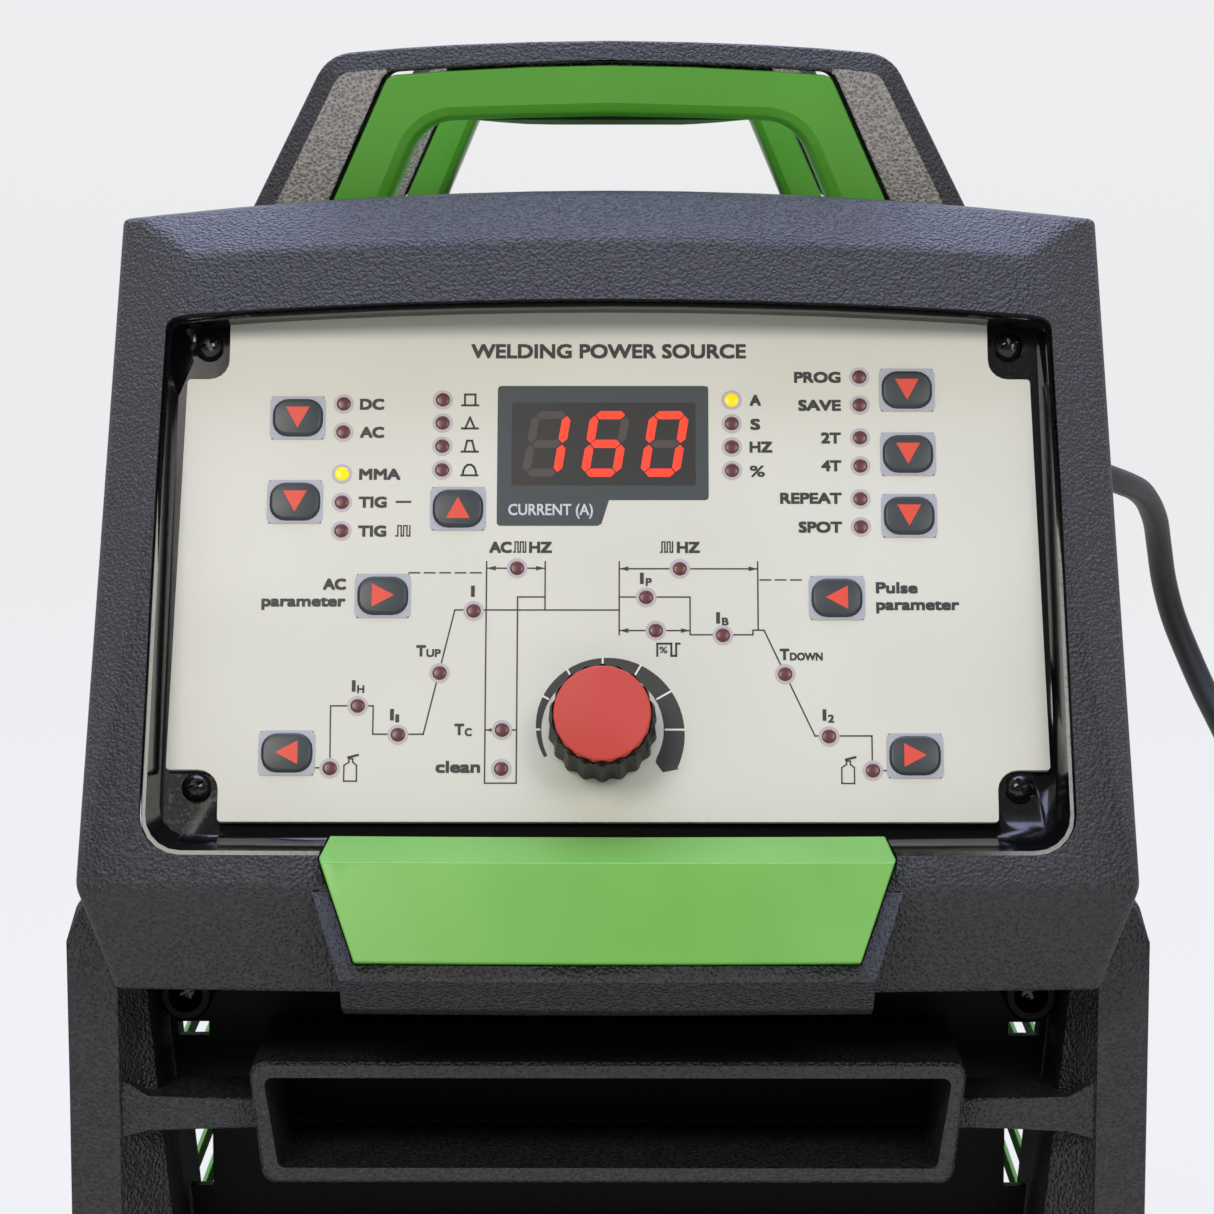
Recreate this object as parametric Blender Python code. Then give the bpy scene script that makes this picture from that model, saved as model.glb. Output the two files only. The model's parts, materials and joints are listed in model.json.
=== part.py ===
"""AC/DC TIG welding inverter: moulded front and rear, sheet-metal cover, control panel, handle and lead.

Metres, +Z up. The front faces -Y and the machine stands on z = 0, centred on x = 0 and y = 0.
"""

import math

import bmesh
import bpy
from mathutils import Matrix, Vector

GAP = 0.0003                    # clearance between pieces that touch

# Driving dimensions
FRONT_Y = -0.239                # front face of the lower moulding
COVER_FRONT = -0.1797           # where the control housing ends and the cover begins
COVER_REAR = 0.2280
REAR_Y = 0.2699                 # back of the rear moulding
FRAME_HALF = 0.1115             # half width of the front and rear mouldings
COVER_HALF = 0.1030             # half width of the sheet cover
COVER_TOP = 0.3680
FOOT_HEIGHT = 0.0120
TRAY_TOP = FOOT_HEIGHT + GAP + 0.0015
SHEET = 0.0012

# The control panel: its own frame has x across, y up the panel and z out of it.
PANEL_ORIGIN = Vector((0, -0.2227, 0.2994))
PANEL_TILT = math.radians(23)   # leans back from the vertical
HOUSING_WALL = 0.0030
FRONT_BOW = 0.0050              # how far the housing's face bulges at its middle
TOP_ARCH = 0.055                # how much its top edges rise at the middle, as a share of their height
CHIN_ARCH = 0.025
BOW_HALF = 0.1075

PLATE_TOP_HALF, PLATE_FOOT_HALF = 0.0884, 0.0911
PLATE_TOP, PLATE_FOOT = 0.0636, -0.0456
NOTCH_X, NOTCH_TOP, NOTCH_FOOT = 0.0800, 0.0497, -0.0347
SCREW_X, SCREW_TOP, SCREW_FOOT = 0.0846, 0.0574, -0.0381
KNOB_AT = (-0.0011, -0.0262)
KNOB_HEIGHT = 0.0150
KEY_SIZE = (0.0103, 0.0088)
KEYS = {
    "key_output": (-0.0653, 0.0411), "key_process": (-0.0655, 0.0227), "key_waveform": (-0.0314, 0.0212),
    "key_memory": (0.0628, 0.0473), "key_trigger": (0.0628, 0.0332), "key_spot": (0.0628, 0.0197),
    "key_ac_parameter": (-0.0468, 0.0023), "key_pulse_parameter": (0.0475, 0.0019),
    "key_step_left": (-0.0660, -0.0312), "key_step_right": (0.0631, -0.0317),
}

SOCKETS = {"minus": -0.060, "plus": 0.060}
SOCKET_Z = 0.080
CORD_RADIUS = 0.0046
COIL_CENTRE = (0.2280, 0.1600)
COIL_RADIUS = 0.0520
COIL_LIFT = 0.0003
FAN_AT = (-0.020, 0.135)        # x and z of the fan's axis
FAN_HALF = 0.060
SWITCH_AT = (-0.060, 0.300)
GLAND_AT = (0.078, 0.283)
GAS_AT = (0.055, 0.075)


# ---------------------------------------------------------------- tools

def material(name, colour, roughness, metallic=0.0):
    """A Principled material with one colour."""
    found = bpy.data.materials.get(name)
    if found:
        return found
    made = bpy.data.materials.new(name)
    made.use_nodes = True
    shader = made.node_tree.nodes["Principled BSDF"]
    shader.inputs["Base Color"].default_value = (*colour, 1)
    shader.inputs["Roughness"].default_value = roughness
    shader.inputs["Metallic"].default_value = metallic
    made.diffuse_color = (*colour, 1)
    return made


def charcoal():
    return material("textured_charcoal", (0.045, 0.045, 0.050), 0.55)


def gloss_black():
    return material("gloss_black", (0.008, 0.008, 0.009), 0.15)


def matt_black():
    return material("matt_black", (0.02, 0.02, 0.02), 0.6)


def green_plastic():
    return material("green_plastic", (0.15, 0.45, 0.07), 0.35)


def green_paint():
    return material("green_paint", (0.12, 0.38, 0.06), 0.4)


def ivory():
    return material("ivory_laminate", (0.70, 0.70, 0.60), 0.4)


def red_plastic():
    return material("red_plastic", (0.55, 0.07, 0.05), 0.4)


def slate():
    return material("slate_film", (0.05, 0.06, 0.07), 0.5)


def brass():
    return material("brass", (0.75, 0.55, 0.25), 0.3, 1.0)


def steel():
    return material("zinc_steel", (0.6, 0.6, 0.62), 0.35, 1.0)


def aluminium():
    return material("aluminium", (0.75, 0.75, 0.77), 0.4, 1.0)


def copper():
    return material("copper_winding", (0.55, 0.25, 0.12), 0.4, 1.0)


def rubber():
    return material("rubber", (0.015, 0.015, 0.015), 0.75)


def board_green():
    return material("circuit_board", (0.03, 0.16, 0.07), 0.5)


def blue_plastic():
    return material("blue_plastic", (0.03, 0.12, 0.45), 0.4)


def empty_frame(name, at, turn):
    """A frame that pieces are placed by."""
    frame = bpy.data.objects.new(name, None)
    frame.location = at
    frame.rotation_euler = (turn, 0, 0)
    bpy.context.scene.collection.objects.link(frame)
    return frame


def place(bm, name, look, frame=None, at=(0, 0, 0), guide=False, smooth=35):
    """Turns a bmesh into a named object, in a frame if one is given."""
    bmesh.ops.recalc_face_normals(bm, faces=bm.faces)
    mesh = bpy.data.meshes.new(name)
    bm.to_mesh(mesh)
    bm.free()
    mesh.shade_smooth()
    mesh.set_sharp_from_angle(angle=math.radians(smooth))
    piece = bpy.data.objects.new(name, mesh)
    bpy.context.scene.collection.objects.link(piece)
    piece.location = at
    piece.parent = frame
    if look:
        mesh.materials.append(look)
    if guide:
        piece.hide_render = True
        piece.display_type = "WIRE"
    return piece


def boolean(piece, tool, operation="DIFFERENCE"):
    """Cuts the tool from a piece, or joins it on."""
    step = piece.modifiers.new(tool.name, "BOOLEAN")
    step.object = tool
    step.operation = operation
    return piece


def rounded(corners, radii, steps=4):
    """The points of an outline whose corners, given anticlockwise, are rounded by their radii."""
    points = []
    count = len(corners)
    for i, corner in enumerate(corners):
        radius = radii[i] if isinstance(radii, (list, tuple)) else radii
        here = Vector(corner)
        back = (Vector(corners[i - 1]) - here).normalized()
        ahead = (Vector(corners[(i + 1) % count]) - here).normalized()
        if radius <= 0:
            points.append(here)
            continue
        half = back.angle(ahead) / 2
        reach = radius / math.tan(half)
        centre = here + (back + ahead).normalized() * radius / math.sin(half)
        start = here + back * reach - centre
        end = here + ahead * reach - centre
        for step in range(steps + 1):
            share = step / steps
            turn = start.angle(end)
            points.append(centre + (start * math.sin((1 - share) * turn)
                                    + end * math.sin(share * turn)) / math.sin(turn))
    return points


def box_corners(half, low, high):
    return [(-half, low), (half, low), (half, high), (-half, high)]


def loft(loops, closed_ring=False):
    """A closed solid through loops of equal point count; a ring joins its last loop to its first."""
    bm = bmesh.new()
    rows = [[bm.verts.new(point) for point in loop] for loop in loops]
    pairs = list(zip(rows, rows[1:] + rows[:1] if closed_ring else rows[1:]))
    for one, two in pairs:
        for i in range(len(one)):
            j = (i + 1) % len(one)
            bm.faces.new((one[i], one[j], two[j], two[i]))
    if not closed_ring:
        bm.faces.new(rows[0][::-1])
        bm.faces.new(rows[-1])
    return bm


def prism(outline, near, far, chamfer=0.0, chamfer_far=0.0):
    """An outline pulled from near to far along z, with chamfered rims where asked."""
    bm = loft([[(p[0], p[1], z) for p in outline] for z in (near, far)])
    for level, width in ((near, chamfer), (far, chamfer_far)):
        if width:
            edges = [e for e in bm.edges if all(abs(v.co.z - level) < 1e-7 for v in e.verts)]
            bmesh.ops.bevel(bm, geom=edges, offset=width, segments=1, profile=0.5, affect="EDGES",
                            material=-1)
    return bm


def turned(profile, sides=32):
    """A solid of revolution about z through (radius, height) points that start and end on the axis."""
    bm = bmesh.new()
    verts = [bm.verts.new((r, 0, h)) for r, h in profile]
    edges = [bm.edges.new(pair) for pair in zip(verts, verts[1:])]
    bmesh.ops.spin(bm, geom=verts + edges, axis=(0, 0, 1), cent=(0, 0, 0), steps=sides,
                   angle=math.tau, use_merge=True)
    bmesh.ops.remove_doubles(bm, verts=bm.verts, dist=1e-6)
    return bm


def turned_ring(profile, sides=32):
    """A solid of revolution whose closed (radius, height) profile stays off the axis."""
    bm = bmesh.new()
    verts = [bm.verts.new((r, 0, h)) for r, h in profile]
    edges = [bm.edges.new((verts[i - 1], verts[i])) for i in range(len(verts))]
    bmesh.ops.spin(bm, geom=verts + edges, axis=(0, 0, 1), cent=(0, 0, 0), steps=sides,
                   angle=math.tau, use_merge=True)
    bmesh.ops.remove_doubles(bm, verts=bm.verts, dist=1e-6)
    return bm


def block(low, high, chamfer=0.0):
    """A box between two corners."""
    bm = bmesh.new()
    bmesh.ops.create_cube(bm, size=1)
    size = [b - a for a, b in zip(low, high)]
    bmesh.ops.scale(bm, verts=bm.verts, vec=size)
    bmesh.ops.translate(bm, verts=bm.verts, vec=[(a + b) / 2 for a, b in zip(low, high)])
    if chamfer:
        bmesh.ops.bevel(bm, geom=bm.edges[:], offset=chamfer, segments=1, profile=0.5,
                        affect="EDGES", material=-1)
    return bm


def add_block(bm, low, high):
    """One more box in a mesh of separate boxes, for cutters."""
    made = bmesh.ops.create_cube(bm, size=1)["verts"]
    bmesh.ops.scale(bm, verts=made, vec=[b - a for a, b in zip(low, high)])
    bmesh.ops.translate(bm, verts=made, vec=[(a + b) / 2 for a, b in zip(low, high)])


def trim(bm, point, normal):
    """Cuts off what lies beyond a plane and closes the solid there."""
    geom = bm.verts[:] + bm.edges[:] + bm.faces[:]
    cut = bmesh.ops.bisect_plane(bm, geom=geom, dist=1e-7, plane_co=point, plane_no=normal, clear_outer=True)
    edges = [e for e in cut["geom_cut"] if isinstance(e, bmesh.types.BMEdge)]
    if edges:
        bmesh.ops.edgeloop_fill(bm, edges=edges)


# ---------------------------------------------------------------- control housing

CORNER_FOLD = Vector((0.1070, -0.0615, 0.0110))     # widest point of the housing, at the chin's fold
CORNER_TOP = Vector((0.1045, 0.0824, -0.0060))
CHIN_FOOT = Vector((0.0998, -0.0795, -0.0040))
FACE_SLOPE = 0.03
FLANK_SLOPE = 0.60
FLANK_START = Vector((0.0935, 0.0200))
BROW_FOOT, BROW_TOP = Vector((0.0450, 0.0078)), Vector((0.0737, 0.0048))
CROWN_EDGE = Vector((0.0865, -0.0040))
WORLD_UP = Vector((0, math.cos(PANEL_TILT), math.sin(PANEL_TILT)))
WORLD_BACK = Vector((0, math.sin(PANEL_TILT), -math.cos(PANEL_TILT)))


def face_height(v):
    """Height of the housing's front plane above the plate, at v up the panel."""
    return CORNER_FOLD.z - FACE_SLOPE * (v - CORNER_FOLD.y)


def shell_height(u, v):
    """Height of the housing's front surface: its face, the brow over the window and the flanks."""
    brow = BROW_FOOT.y + (v - BROW_FOOT.x) * (BROW_TOP.y - BROW_FOOT.y) / (BROW_TOP.x - BROW_FOOT.x)
    fold = Vector((CORNER_FOLD.x, CORNER_FOLD.y)) - FLANK_START
    out = Vector((-fold.y, fold.x)).normalized()
    flank = face_height(v) - FLANK_SLOPE * (Vector((abs(u), v)) - FLANK_START).dot(out)
    return min(face_height(v), flank, brow if v > BROW_FOOT.x else face_height(v))


def bow(u):
    return 1 - (u / BOW_HALF) ** 2


def bent(u, v, w, share=1.0):
    """A point of the flat design after the housing's crown is given to it."""
    rise = TOP_ARCH if v > 0 else CHIN_ARCH
    return Vector((u, v * (1 + rise * bow(u)), w + share * FRONT_BOW * bow(u)))


def housing_planes():
    """(point, outward normal) of each facet of the housing."""
    fold = Vector((CORNER_FOLD.x, CORNER_FOLD.y)) - FLANK_START
    out = Vector((-fold.y, fold.x)).normalized() * FLANK_SLOPE
    brow_slope = (BROW_FOOT.y - BROW_TOP.y) / (BROW_TOP.x - BROW_FOOT.x)
    chin = CHIN_FOOT - CORNER_FOLD
    side = CORNER_TOP - CORNER_FOLD
    crown = CROWN_EDGE - BROW_TOP
    planes = [
        (CORNER_FOLD, Vector((0, FACE_SLOPE, 1))),
        (Vector((0, BROW_FOOT.x, BROW_FOOT.y)), Vector((0, brow_slope, 1))),
        (Vector((0, BROW_TOP.x, BROW_TOP.y)), Vector((0, -crown.y, crown.x))),
        (Vector((0, CROWN_EDGE.x, CROWN_EDGE.y)), WORLD_UP),
        (CORNER_FOLD, Vector((0, chin.z, -chin.y))),
        (CHIN_FOOT, -WORLD_UP),
    ]
    for sign in (1, -1):
        flank_at = Vector((sign * FLANK_START.x, FLANK_START.y, face_height(FLANK_START.y)))
        planes.append((flank_at, Vector((sign * out.x, out.y + FACE_SLOPE, 1))))
        planes.append((Vector((sign * CORNER_FOLD.x, CORNER_FOLD.y, 0)),
                       Vector((sign * -side.y, side.x, 0)) * -1))
        edge = Vector((sign * chin.x, chin.y, chin.z))
        lower = edge.cross(WORLD_BACK)
        lower = lower if lower.x * sign > 0 else -lower
        planes.append((Vector((sign * CORNER_FOLD.x, CORNER_FOLD.y, CORNER_FOLD.z)), lower))
    return planes


def housing_solid(inset, rear_y, rounding=0.0):
    """The faceted housing as one solid, each facet moved in by the inset, then crowned and cut behind."""
    bm = block((-0.15, -0.15, -0.11), (0.15, 0.15, 0.03))
    for point, normal in housing_planes():
        unit = normal.normalized()
        trim(bm, point - unit * inset, unit)
    if rounding:
        bmesh.ops.bevel(bm, geom=bm.edges[:], offset=rounding, segments=2, profile=0.5,
                        affect="EDGES", material=-1)
    for step in range(-6, 7):
        bmesh.ops.bisect_plane(bm, geom=bm.verts[:] + bm.edges[:] + bm.faces[:], dist=1e-6,
                               plane_co=(step * 0.016, 0, 0), plane_no=(1, 0, 0))
    for vert in bm.verts:
        vert.co = bent(*vert.co)
    depth = (rear_y - PANEL_ORIGIN.y) / math.cos(PANEL_TILT)
    trim(bm, (0, 0, -depth), WORLD_BACK)
    return bm


def window_outline(grow, high, low, radius, foot_half=0.0948, top_half=0.0931, steps=5):
    """The window's outline in the panel, grown by a margin, with points close enough to follow the crown."""
    corners = [(-foot_half - grow, low - grow), (foot_half + grow, low - grow),
               (top_half + grow, high + grow), (-top_half - grow, high + grow)]
    ends = rounded(corners, [radius, radius, 0.002, 0.002], steps)
    points = []
    for i, end in enumerate(ends):
        after = ends[(i + 1) % len(ends)]
        side, last = divmod(i, steps + 1)
        parts = (12, 6)[side % 2] if last == steps else 1
        points += [end.lerp(after, part / parts) for part in range(parts)]
    return points


WINDOW_HIGH, WINDOW_LOW = 0.0604, -0.0546


def build_housing(panel):
    housing = place(housing_solid(0, COVER_FRONT, 0.0011), "control_housing", charcoal(), panel, smooth=20)
    boolean(housing, place(keel_solid(), "keel_tool", None, panel, guide=True), "UNION")
    boolean(housing, place(housing_solid(HOUSING_WALL, 0.02), "housing_hollow", None, panel, guide=True))
    window = window_outline(0, WINDOW_HIGH, WINDOW_LOW, 0.0085)
    cutter = loft([[bent(p.x, p.y, w) for p in window] for w in (-0.004, 0.030)])
    boolean(housing, place(cutter, "window_tool", None, panel, guide=True))
    boolean(housing, place(badge_solid(GAP, True), "badge_tool", None, panel, guide=True))
    return housing


KEEL_TOP_HALF, KEEL_FOOT_HALF = 0.0592, 0.0533
KEEL_TOP, KEEL_FOOT, KEEL_LIP = -0.0620, -0.0797, -0.0836


def keel_solid():
    """The part of the face that runs down round the badge, past the chin."""
    corners = [(-KEEL_TOP_HALF, KEEL_TOP), (-KEEL_FOOT_HALF, KEEL_FOOT), (-KEEL_FOOT_HALF, KEEL_LIP),
               (KEEL_FOOT_HALF, KEEL_LIP), (KEEL_FOOT_HALF, KEEL_FOOT), (KEEL_TOP_HALF, KEEL_TOP)]
    bm = prism(corners, -0.004, 0.020)
    trim(bm, CORNER_FOLD, Vector((0, FACE_SLOPE, 1)))
    lip = Vector((0, KEEL_FOOT, face_height(KEEL_FOOT)))
    trim(bm, lip, Vector((0, -0.0100, 0.0042)))
    for step in range(-3, 4):
        bmesh.ops.bisect_plane(bm, geom=bm.verts[:] + bm.edges[:] + bm.faces[:], dist=1e-6,
                               plane_co=(step * 0.016, 0, 0), plane_no=(1, 0, 0))
    for vert in bm.verts:
        vert.co = bent(*vert.co)
    return bm


BADGE_FOLD, BADGE_TOP, BADGE_FOOT = -0.0562, -0.0484, -0.0762
BADGE_FOLD_HALF, BADGE_TOP_HALF, BADGE_FOOT_HALF = 0.0579, 0.0562, 0.0509
BADGE_PROUD, BADGE_SUNK = 0.0012, 0.0010


def badge_solid(grow, tool=False):
    """The green badge: a face over the chin and a lip that folds back over the window's sill."""
    fold_w = face_height(BADGE_FOLD) + BADGE_PROUD
    foot_w = face_height(BADGE_FOOT) + BADGE_PROUD
    top_w = 0.0026
    thick = BADGE_PROUD + BADGE_SUNK
    lift = 0.010 if tool else 0.0
    stations = []
    for step in range(-8, 9):
        u = step / 8 * (BADGE_FOLD_HALF + 0.004)
        profile = [(BADGE_FOOT - grow, foot_w - thick - grow, 1), (BADGE_FOOT - grow, foot_w + lift, 1),
                   (BADGE_FOLD, fold_w + lift, 1), (BADGE_TOP + grow, top_w + lift, 0.35),
                   (BADGE_TOP - 0.0010, top_w - 0.0013 - 1.6 * grow, 0.35),
                   (BADGE_FOLD - 0.0013, fold_w - thick - grow, 1)]
        stations.append([bent(u, v, w, share) for v, w, share in profile])
    bm = loft(stations)
    for sign in (1, -1):
        for (half_a, a), (half_b, b) in (((BADGE_FOOT_HALF, BADGE_FOOT), (BADGE_FOLD_HALF, BADGE_FOLD)),
                                         ((BADGE_FOLD_HALF, BADGE_FOLD), (BADGE_TOP_HALF, BADGE_TOP))):
            normal = Vector((b - a, half_a - half_b, 0)).normalized()
            point = Vector((half_a, a, 0)) + normal * grow
            trim(bm, (sign * point.x, point.y, 0), (sign * normal.x, normal.y, 0))
    return bm


def build_badge(panel):
    place(badge_solid(0), "badge", green_plastic(), panel, smooth=20)


# ---------------------------------------------------------------- control panel

TRAY_FLOOR = -0.0019            # face of the tray's floor, just behind the plate
TRAY_THICK = 0.0018


def tray_loop(grow, high, low, radius, height=None, below=0.0):
    """One loop of the tray, at a height or at a depth below the housing's surface."""
    points = []
    for p in window_outline(grow, high, low, radius):
        if height is None:
            points.append(bent(p.x, p.y, shell_height(p.x, p.y) - below))
        else:
            points.append(bent(p.x, p.y, height, 0))
    return points


def build_tray(panel):
    """Glossy tray: drafted walls inside the window, a sloping sill and a flat floor behind the plate."""
    floor_high, floor_low = PLATE_TOP + 0.0040, PLATE_FOOT - 0.0020
    rim = tray_loop(-0.0012, WINDOW_HIGH, WINDOW_LOW, 0.0073, None, 0.0016)
    floor = tray_loop(-0.0026, floor_high, floor_low - 0.0026, 0.0060, TRAY_FLOOR)
    below_rim = tray_loop(-0.0012, WINDOW_HIGH, WINDOW_LOW, 0.0073, None, 0.0054)
    neck = [under if under.y > 0.052 else high.lerp(low, 0.3)
            for high, low, under in zip(rim, floor, below_rim)]
    loops = [
        tray_loop(-GAP, WINDOW_HIGH, WINDOW_LOW, 0.0082, None, 0.0016), rim, neck, floor,
        tray_loop(-0.0026 + TRAY_THICK, floor_high, floor_low - 0.0026, 0.0075, TRAY_FLOOR - TRAY_THICK),
        tray_loop(-GAP, WINDOW_HIGH, WINDOW_LOW, 0.0082, None, 0.0050),
    ]
    bm = bmesh.new()
    rows = [[bm.verts.new(point) for point in loop] for loop in loops]
    for one, two in zip(rows, rows[1:] + rows[:1]):
        if one is rows[3]:
            continue
        for i in range(len(one)):
            j = (i + 1) % len(one)
            bm.faces.new((one[i], one[j], two[j], two[i]))
    bm.faces.new(rows[3])
    bm.faces.new(rows[4][::-1])
    tray = place(bm, "panel_tray", gloss_black(), panel)
    boolean(tray, bpy.data.objects["badge_tool"])
    opening = prism(rounded([(-0.077, -0.040), (0.077, -0.040), (0.077, 0.054), (-0.077, 0.054)], 0.003),
                    -0.02, 0.01)
    boolean(tray, place(opening, "tray_opening_tool", None, panel, guide=True))
    holes = bmesh.new()
    for x in (-SCREW_X, SCREW_X):
        for y in (SCREW_FOOT, SCREW_TOP):
            made = bmesh.ops.create_cone(holes, cap_ends=True, segments=16, radius1=0.0019, radius2=0.0019,
                                         depth=0.02)
            bmesh.ops.translate(holes, verts=made["verts"], vec=(x, y, 0))
    boolean(tray, place(holes, "tray_holes_tool", None, panel, guide=True))


def plate_outline():
    """Right half from the foot to the top, then mirrored: notched at the four screws, arched at the top."""
    def half_at(v):
        share = (v - PLATE_FOOT) / (PLATE_TOP - PLATE_FOOT)
        return PLATE_FOOT_HALF + (PLATE_TOP_HALF - PLATE_FOOT_HALF) * share
    corners = [(-NOTCH_X, PLATE_FOOT), (NOTCH_X, PLATE_FOOT), (NOTCH_X, NOTCH_FOOT),
               (half_at(NOTCH_FOOT), NOTCH_FOOT), (half_at(NOTCH_TOP), NOTCH_TOP), (NOTCH_X, NOTCH_TOP),
               (NOTCH_X, PLATE_TOP), (-NOTCH_X, PLATE_TOP), (-NOTCH_X, NOTCH_TOP),
               (-half_at(NOTCH_TOP), NOTCH_TOP), (-half_at(NOTCH_FOOT), NOTCH_FOOT), (-NOTCH_X, NOTCH_FOOT)]
    radii = [0.0008, 0.0008, 0.0042, 0.0008, 0.0008, 0.0042, 0.0008, 0.0008, 0.0042, 0.0008, 0.0008, 0.0042]
    points = rounded(corners, radii, 5)
    outline = []
    for i, point in enumerate(points):
        after = points[(i + 1) % len(points)]
        parts = 10 if min(point.y, after.y) > PLATE_TOP - 1e-6 and (after - point).length > 0.1 else 1
        outline += [point.lerp(after, part / parts) for part in range(parts)]
    rise = TOP_ARCH * PLATE_TOP
    return [Vector((p.x, p.y + rise * (1 - (p.x / NOTCH_X) ** 2))) if p.y > NOTCH_TOP + 0.006 else p
            for p in outline]


def build_plate(panel):
    plate = place(prism(plate_outline(), -0.0016, 0), "panel_plate", ivory(), panel)
    holes = bmesh.new()
    for x, y in KEYS.values():
        add_block(holes, (x - KEY_SIZE[0] / 2 - GAP, y - KEY_SIZE[1] / 2 - GAP, -0.01),
                  (x + KEY_SIZE[0] / 2 + GAP, y + KEY_SIZE[1] / 2 + GAP, 0.01))
    add_block(holes, (-0.0231, 0.0233, -0.01), (0.0209, 0.0481, 0.01))
    made = bmesh.ops.create_cone(holes, cap_ends=True, segments=24, radius1=0.0036, radius2=0.0036,
                                 depth=0.02)
    bmesh.ops.translate(holes, verts=made["verts"], vec=(*KNOB_AT, 0))
    boolean(plate, place(holes, "plate_holes_tool", None, panel, guide=True))
    window = prism(rounded([(-0.0228, 0.0236), (0.0206, 0.0236), (0.0206, 0.0478), (-0.0228, 0.0478)],
                           0.0008, 2),
                   -0.0105, 0.0004, 0, 0.0002)
    place(window, "display_window", slate(), panel)


def build_keys(panel):
    for name, (x, y) in KEYS.items():
        half_x, half_y = KEY_SIZE[0] / 2, KEY_SIZE[1] / 2
        bm = prism(rounded([(-half_x, -half_y), (half_x, -half_y), (half_x, half_y), (-half_x, half_y)],
                           0.0026, 4),
                   -0.0080, 0.0008, 0, 0.0003)
        place(bm, name, slate(), panel, (x, y, 0))


def build_knob(panel):
    """Fluted skirt on its shaft, with a red cap pressed in its top."""
    flutes, rim = 18, 0.0113
    base = [(rim - 0.0004 * (1 + math.cos(math.tau * flutes * i / 108)) * 0.9) for i in range(108)]
    loops = []
    for height, share in ((0.0006, 1.0), (KNOB_HEIGHT - 0.0022, 0.955), (KNOB_HEIGHT - 0.0006, 0.915)):
        loops.append([(base[i] * share * math.cos(math.tau * i / 108),
                       base[i] * share * math.sin(math.tau * i / 108), height) for i in range(108)])
    skirt = place(loft(loops), "knob_skirt", matt_black(), panel, (*KNOB_AT, 0), smooth=30)
    shaft = turned([(0, -0.0085), (0.0030, -0.0085), (0.0030, 0.004), (0, 0.004)], 20)
    boolean(skirt, place(shaft, "shaft_tool", None, panel, (*KNOB_AT, 0), True), "UNION")
    pocket = turned([(0, KNOB_HEIGHT - 0.0030), (0.0099 + GAP, KNOB_HEIGHT - 0.0030),
                     (0.0099 + GAP, 0.03), (0, 0.03)], 64)
    boolean(skirt, place(pocket, "cap_pocket_tool", None, panel, (*KNOB_AT, 0), True))
    cap = turned([(0, KNOB_HEIGHT - 0.0027), (0.0099, KNOB_HEIGHT - 0.0027), (0.0099, KNOB_HEIGHT - 0.0003),
                  (0.0096, KNOB_HEIGHT), (0, KNOB_HEIGHT + 0.0001)], 64)
    place(cap, "knob_cap", red_plastic(), panel, (*KNOB_AT, 0))


def build_panel_screws(panel):
    for tag, x, y in (("top_left", -SCREW_X, SCREW_TOP), ("top_right", SCREW_X, SCREW_TOP),
                      ("foot_left", -SCREW_X, SCREW_FOOT), ("foot_right", SCREW_X, SCREW_FOOT)):
        head = TRAY_FLOOR + GAP
        bm = turned([(0, head - 0.009), (0.0015, head - 0.009), (0.0015, head), (0.0031, head),
                     (0.0031, head + 0.0011), (0.0024, head + 0.0020), (0, head + 0.0024)], 24)
        place(bm, "panel_screw_" + tag, gloss_black(), panel, (x, y, 0))


def build_control_board(panel):
    """The board behind the plate, seen only when the housing is off."""
    outline = rounded([(-0.072, -0.038), (0.072, -0.038), (0.072, 0.050), (-0.072, 0.050)], 0.002, 2)
    place(prism(outline, -0.0135, -0.0119), "control_board", board_green(), panel)


# ---------------------------------------------------------------- lower front

OPENING_FOOT = 0.1560
BAY_TOP, BAY_FOOT, BAY_HALF = 0.1440, 0.0260, 0.0960
FRAME_DEPTH = 0.0590
BAR_TOP, BAR_FOOT = 0.2080, 0.1826
BAR_TOP_HALF, BAR_FOOT_HALF = 0.0740, 0.0710
BAR_WALL = 0.0032
ARM_TOP, ARM_FOOT = 0.1986, 0.1923
BOSS_X, BOSS_Z = 0.0893, 0.2160


def quad(top_half, foot_half, low, high):
    return [(-foot_half, low), (foot_half, low), (top_half, high), (-top_half, high)]


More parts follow.
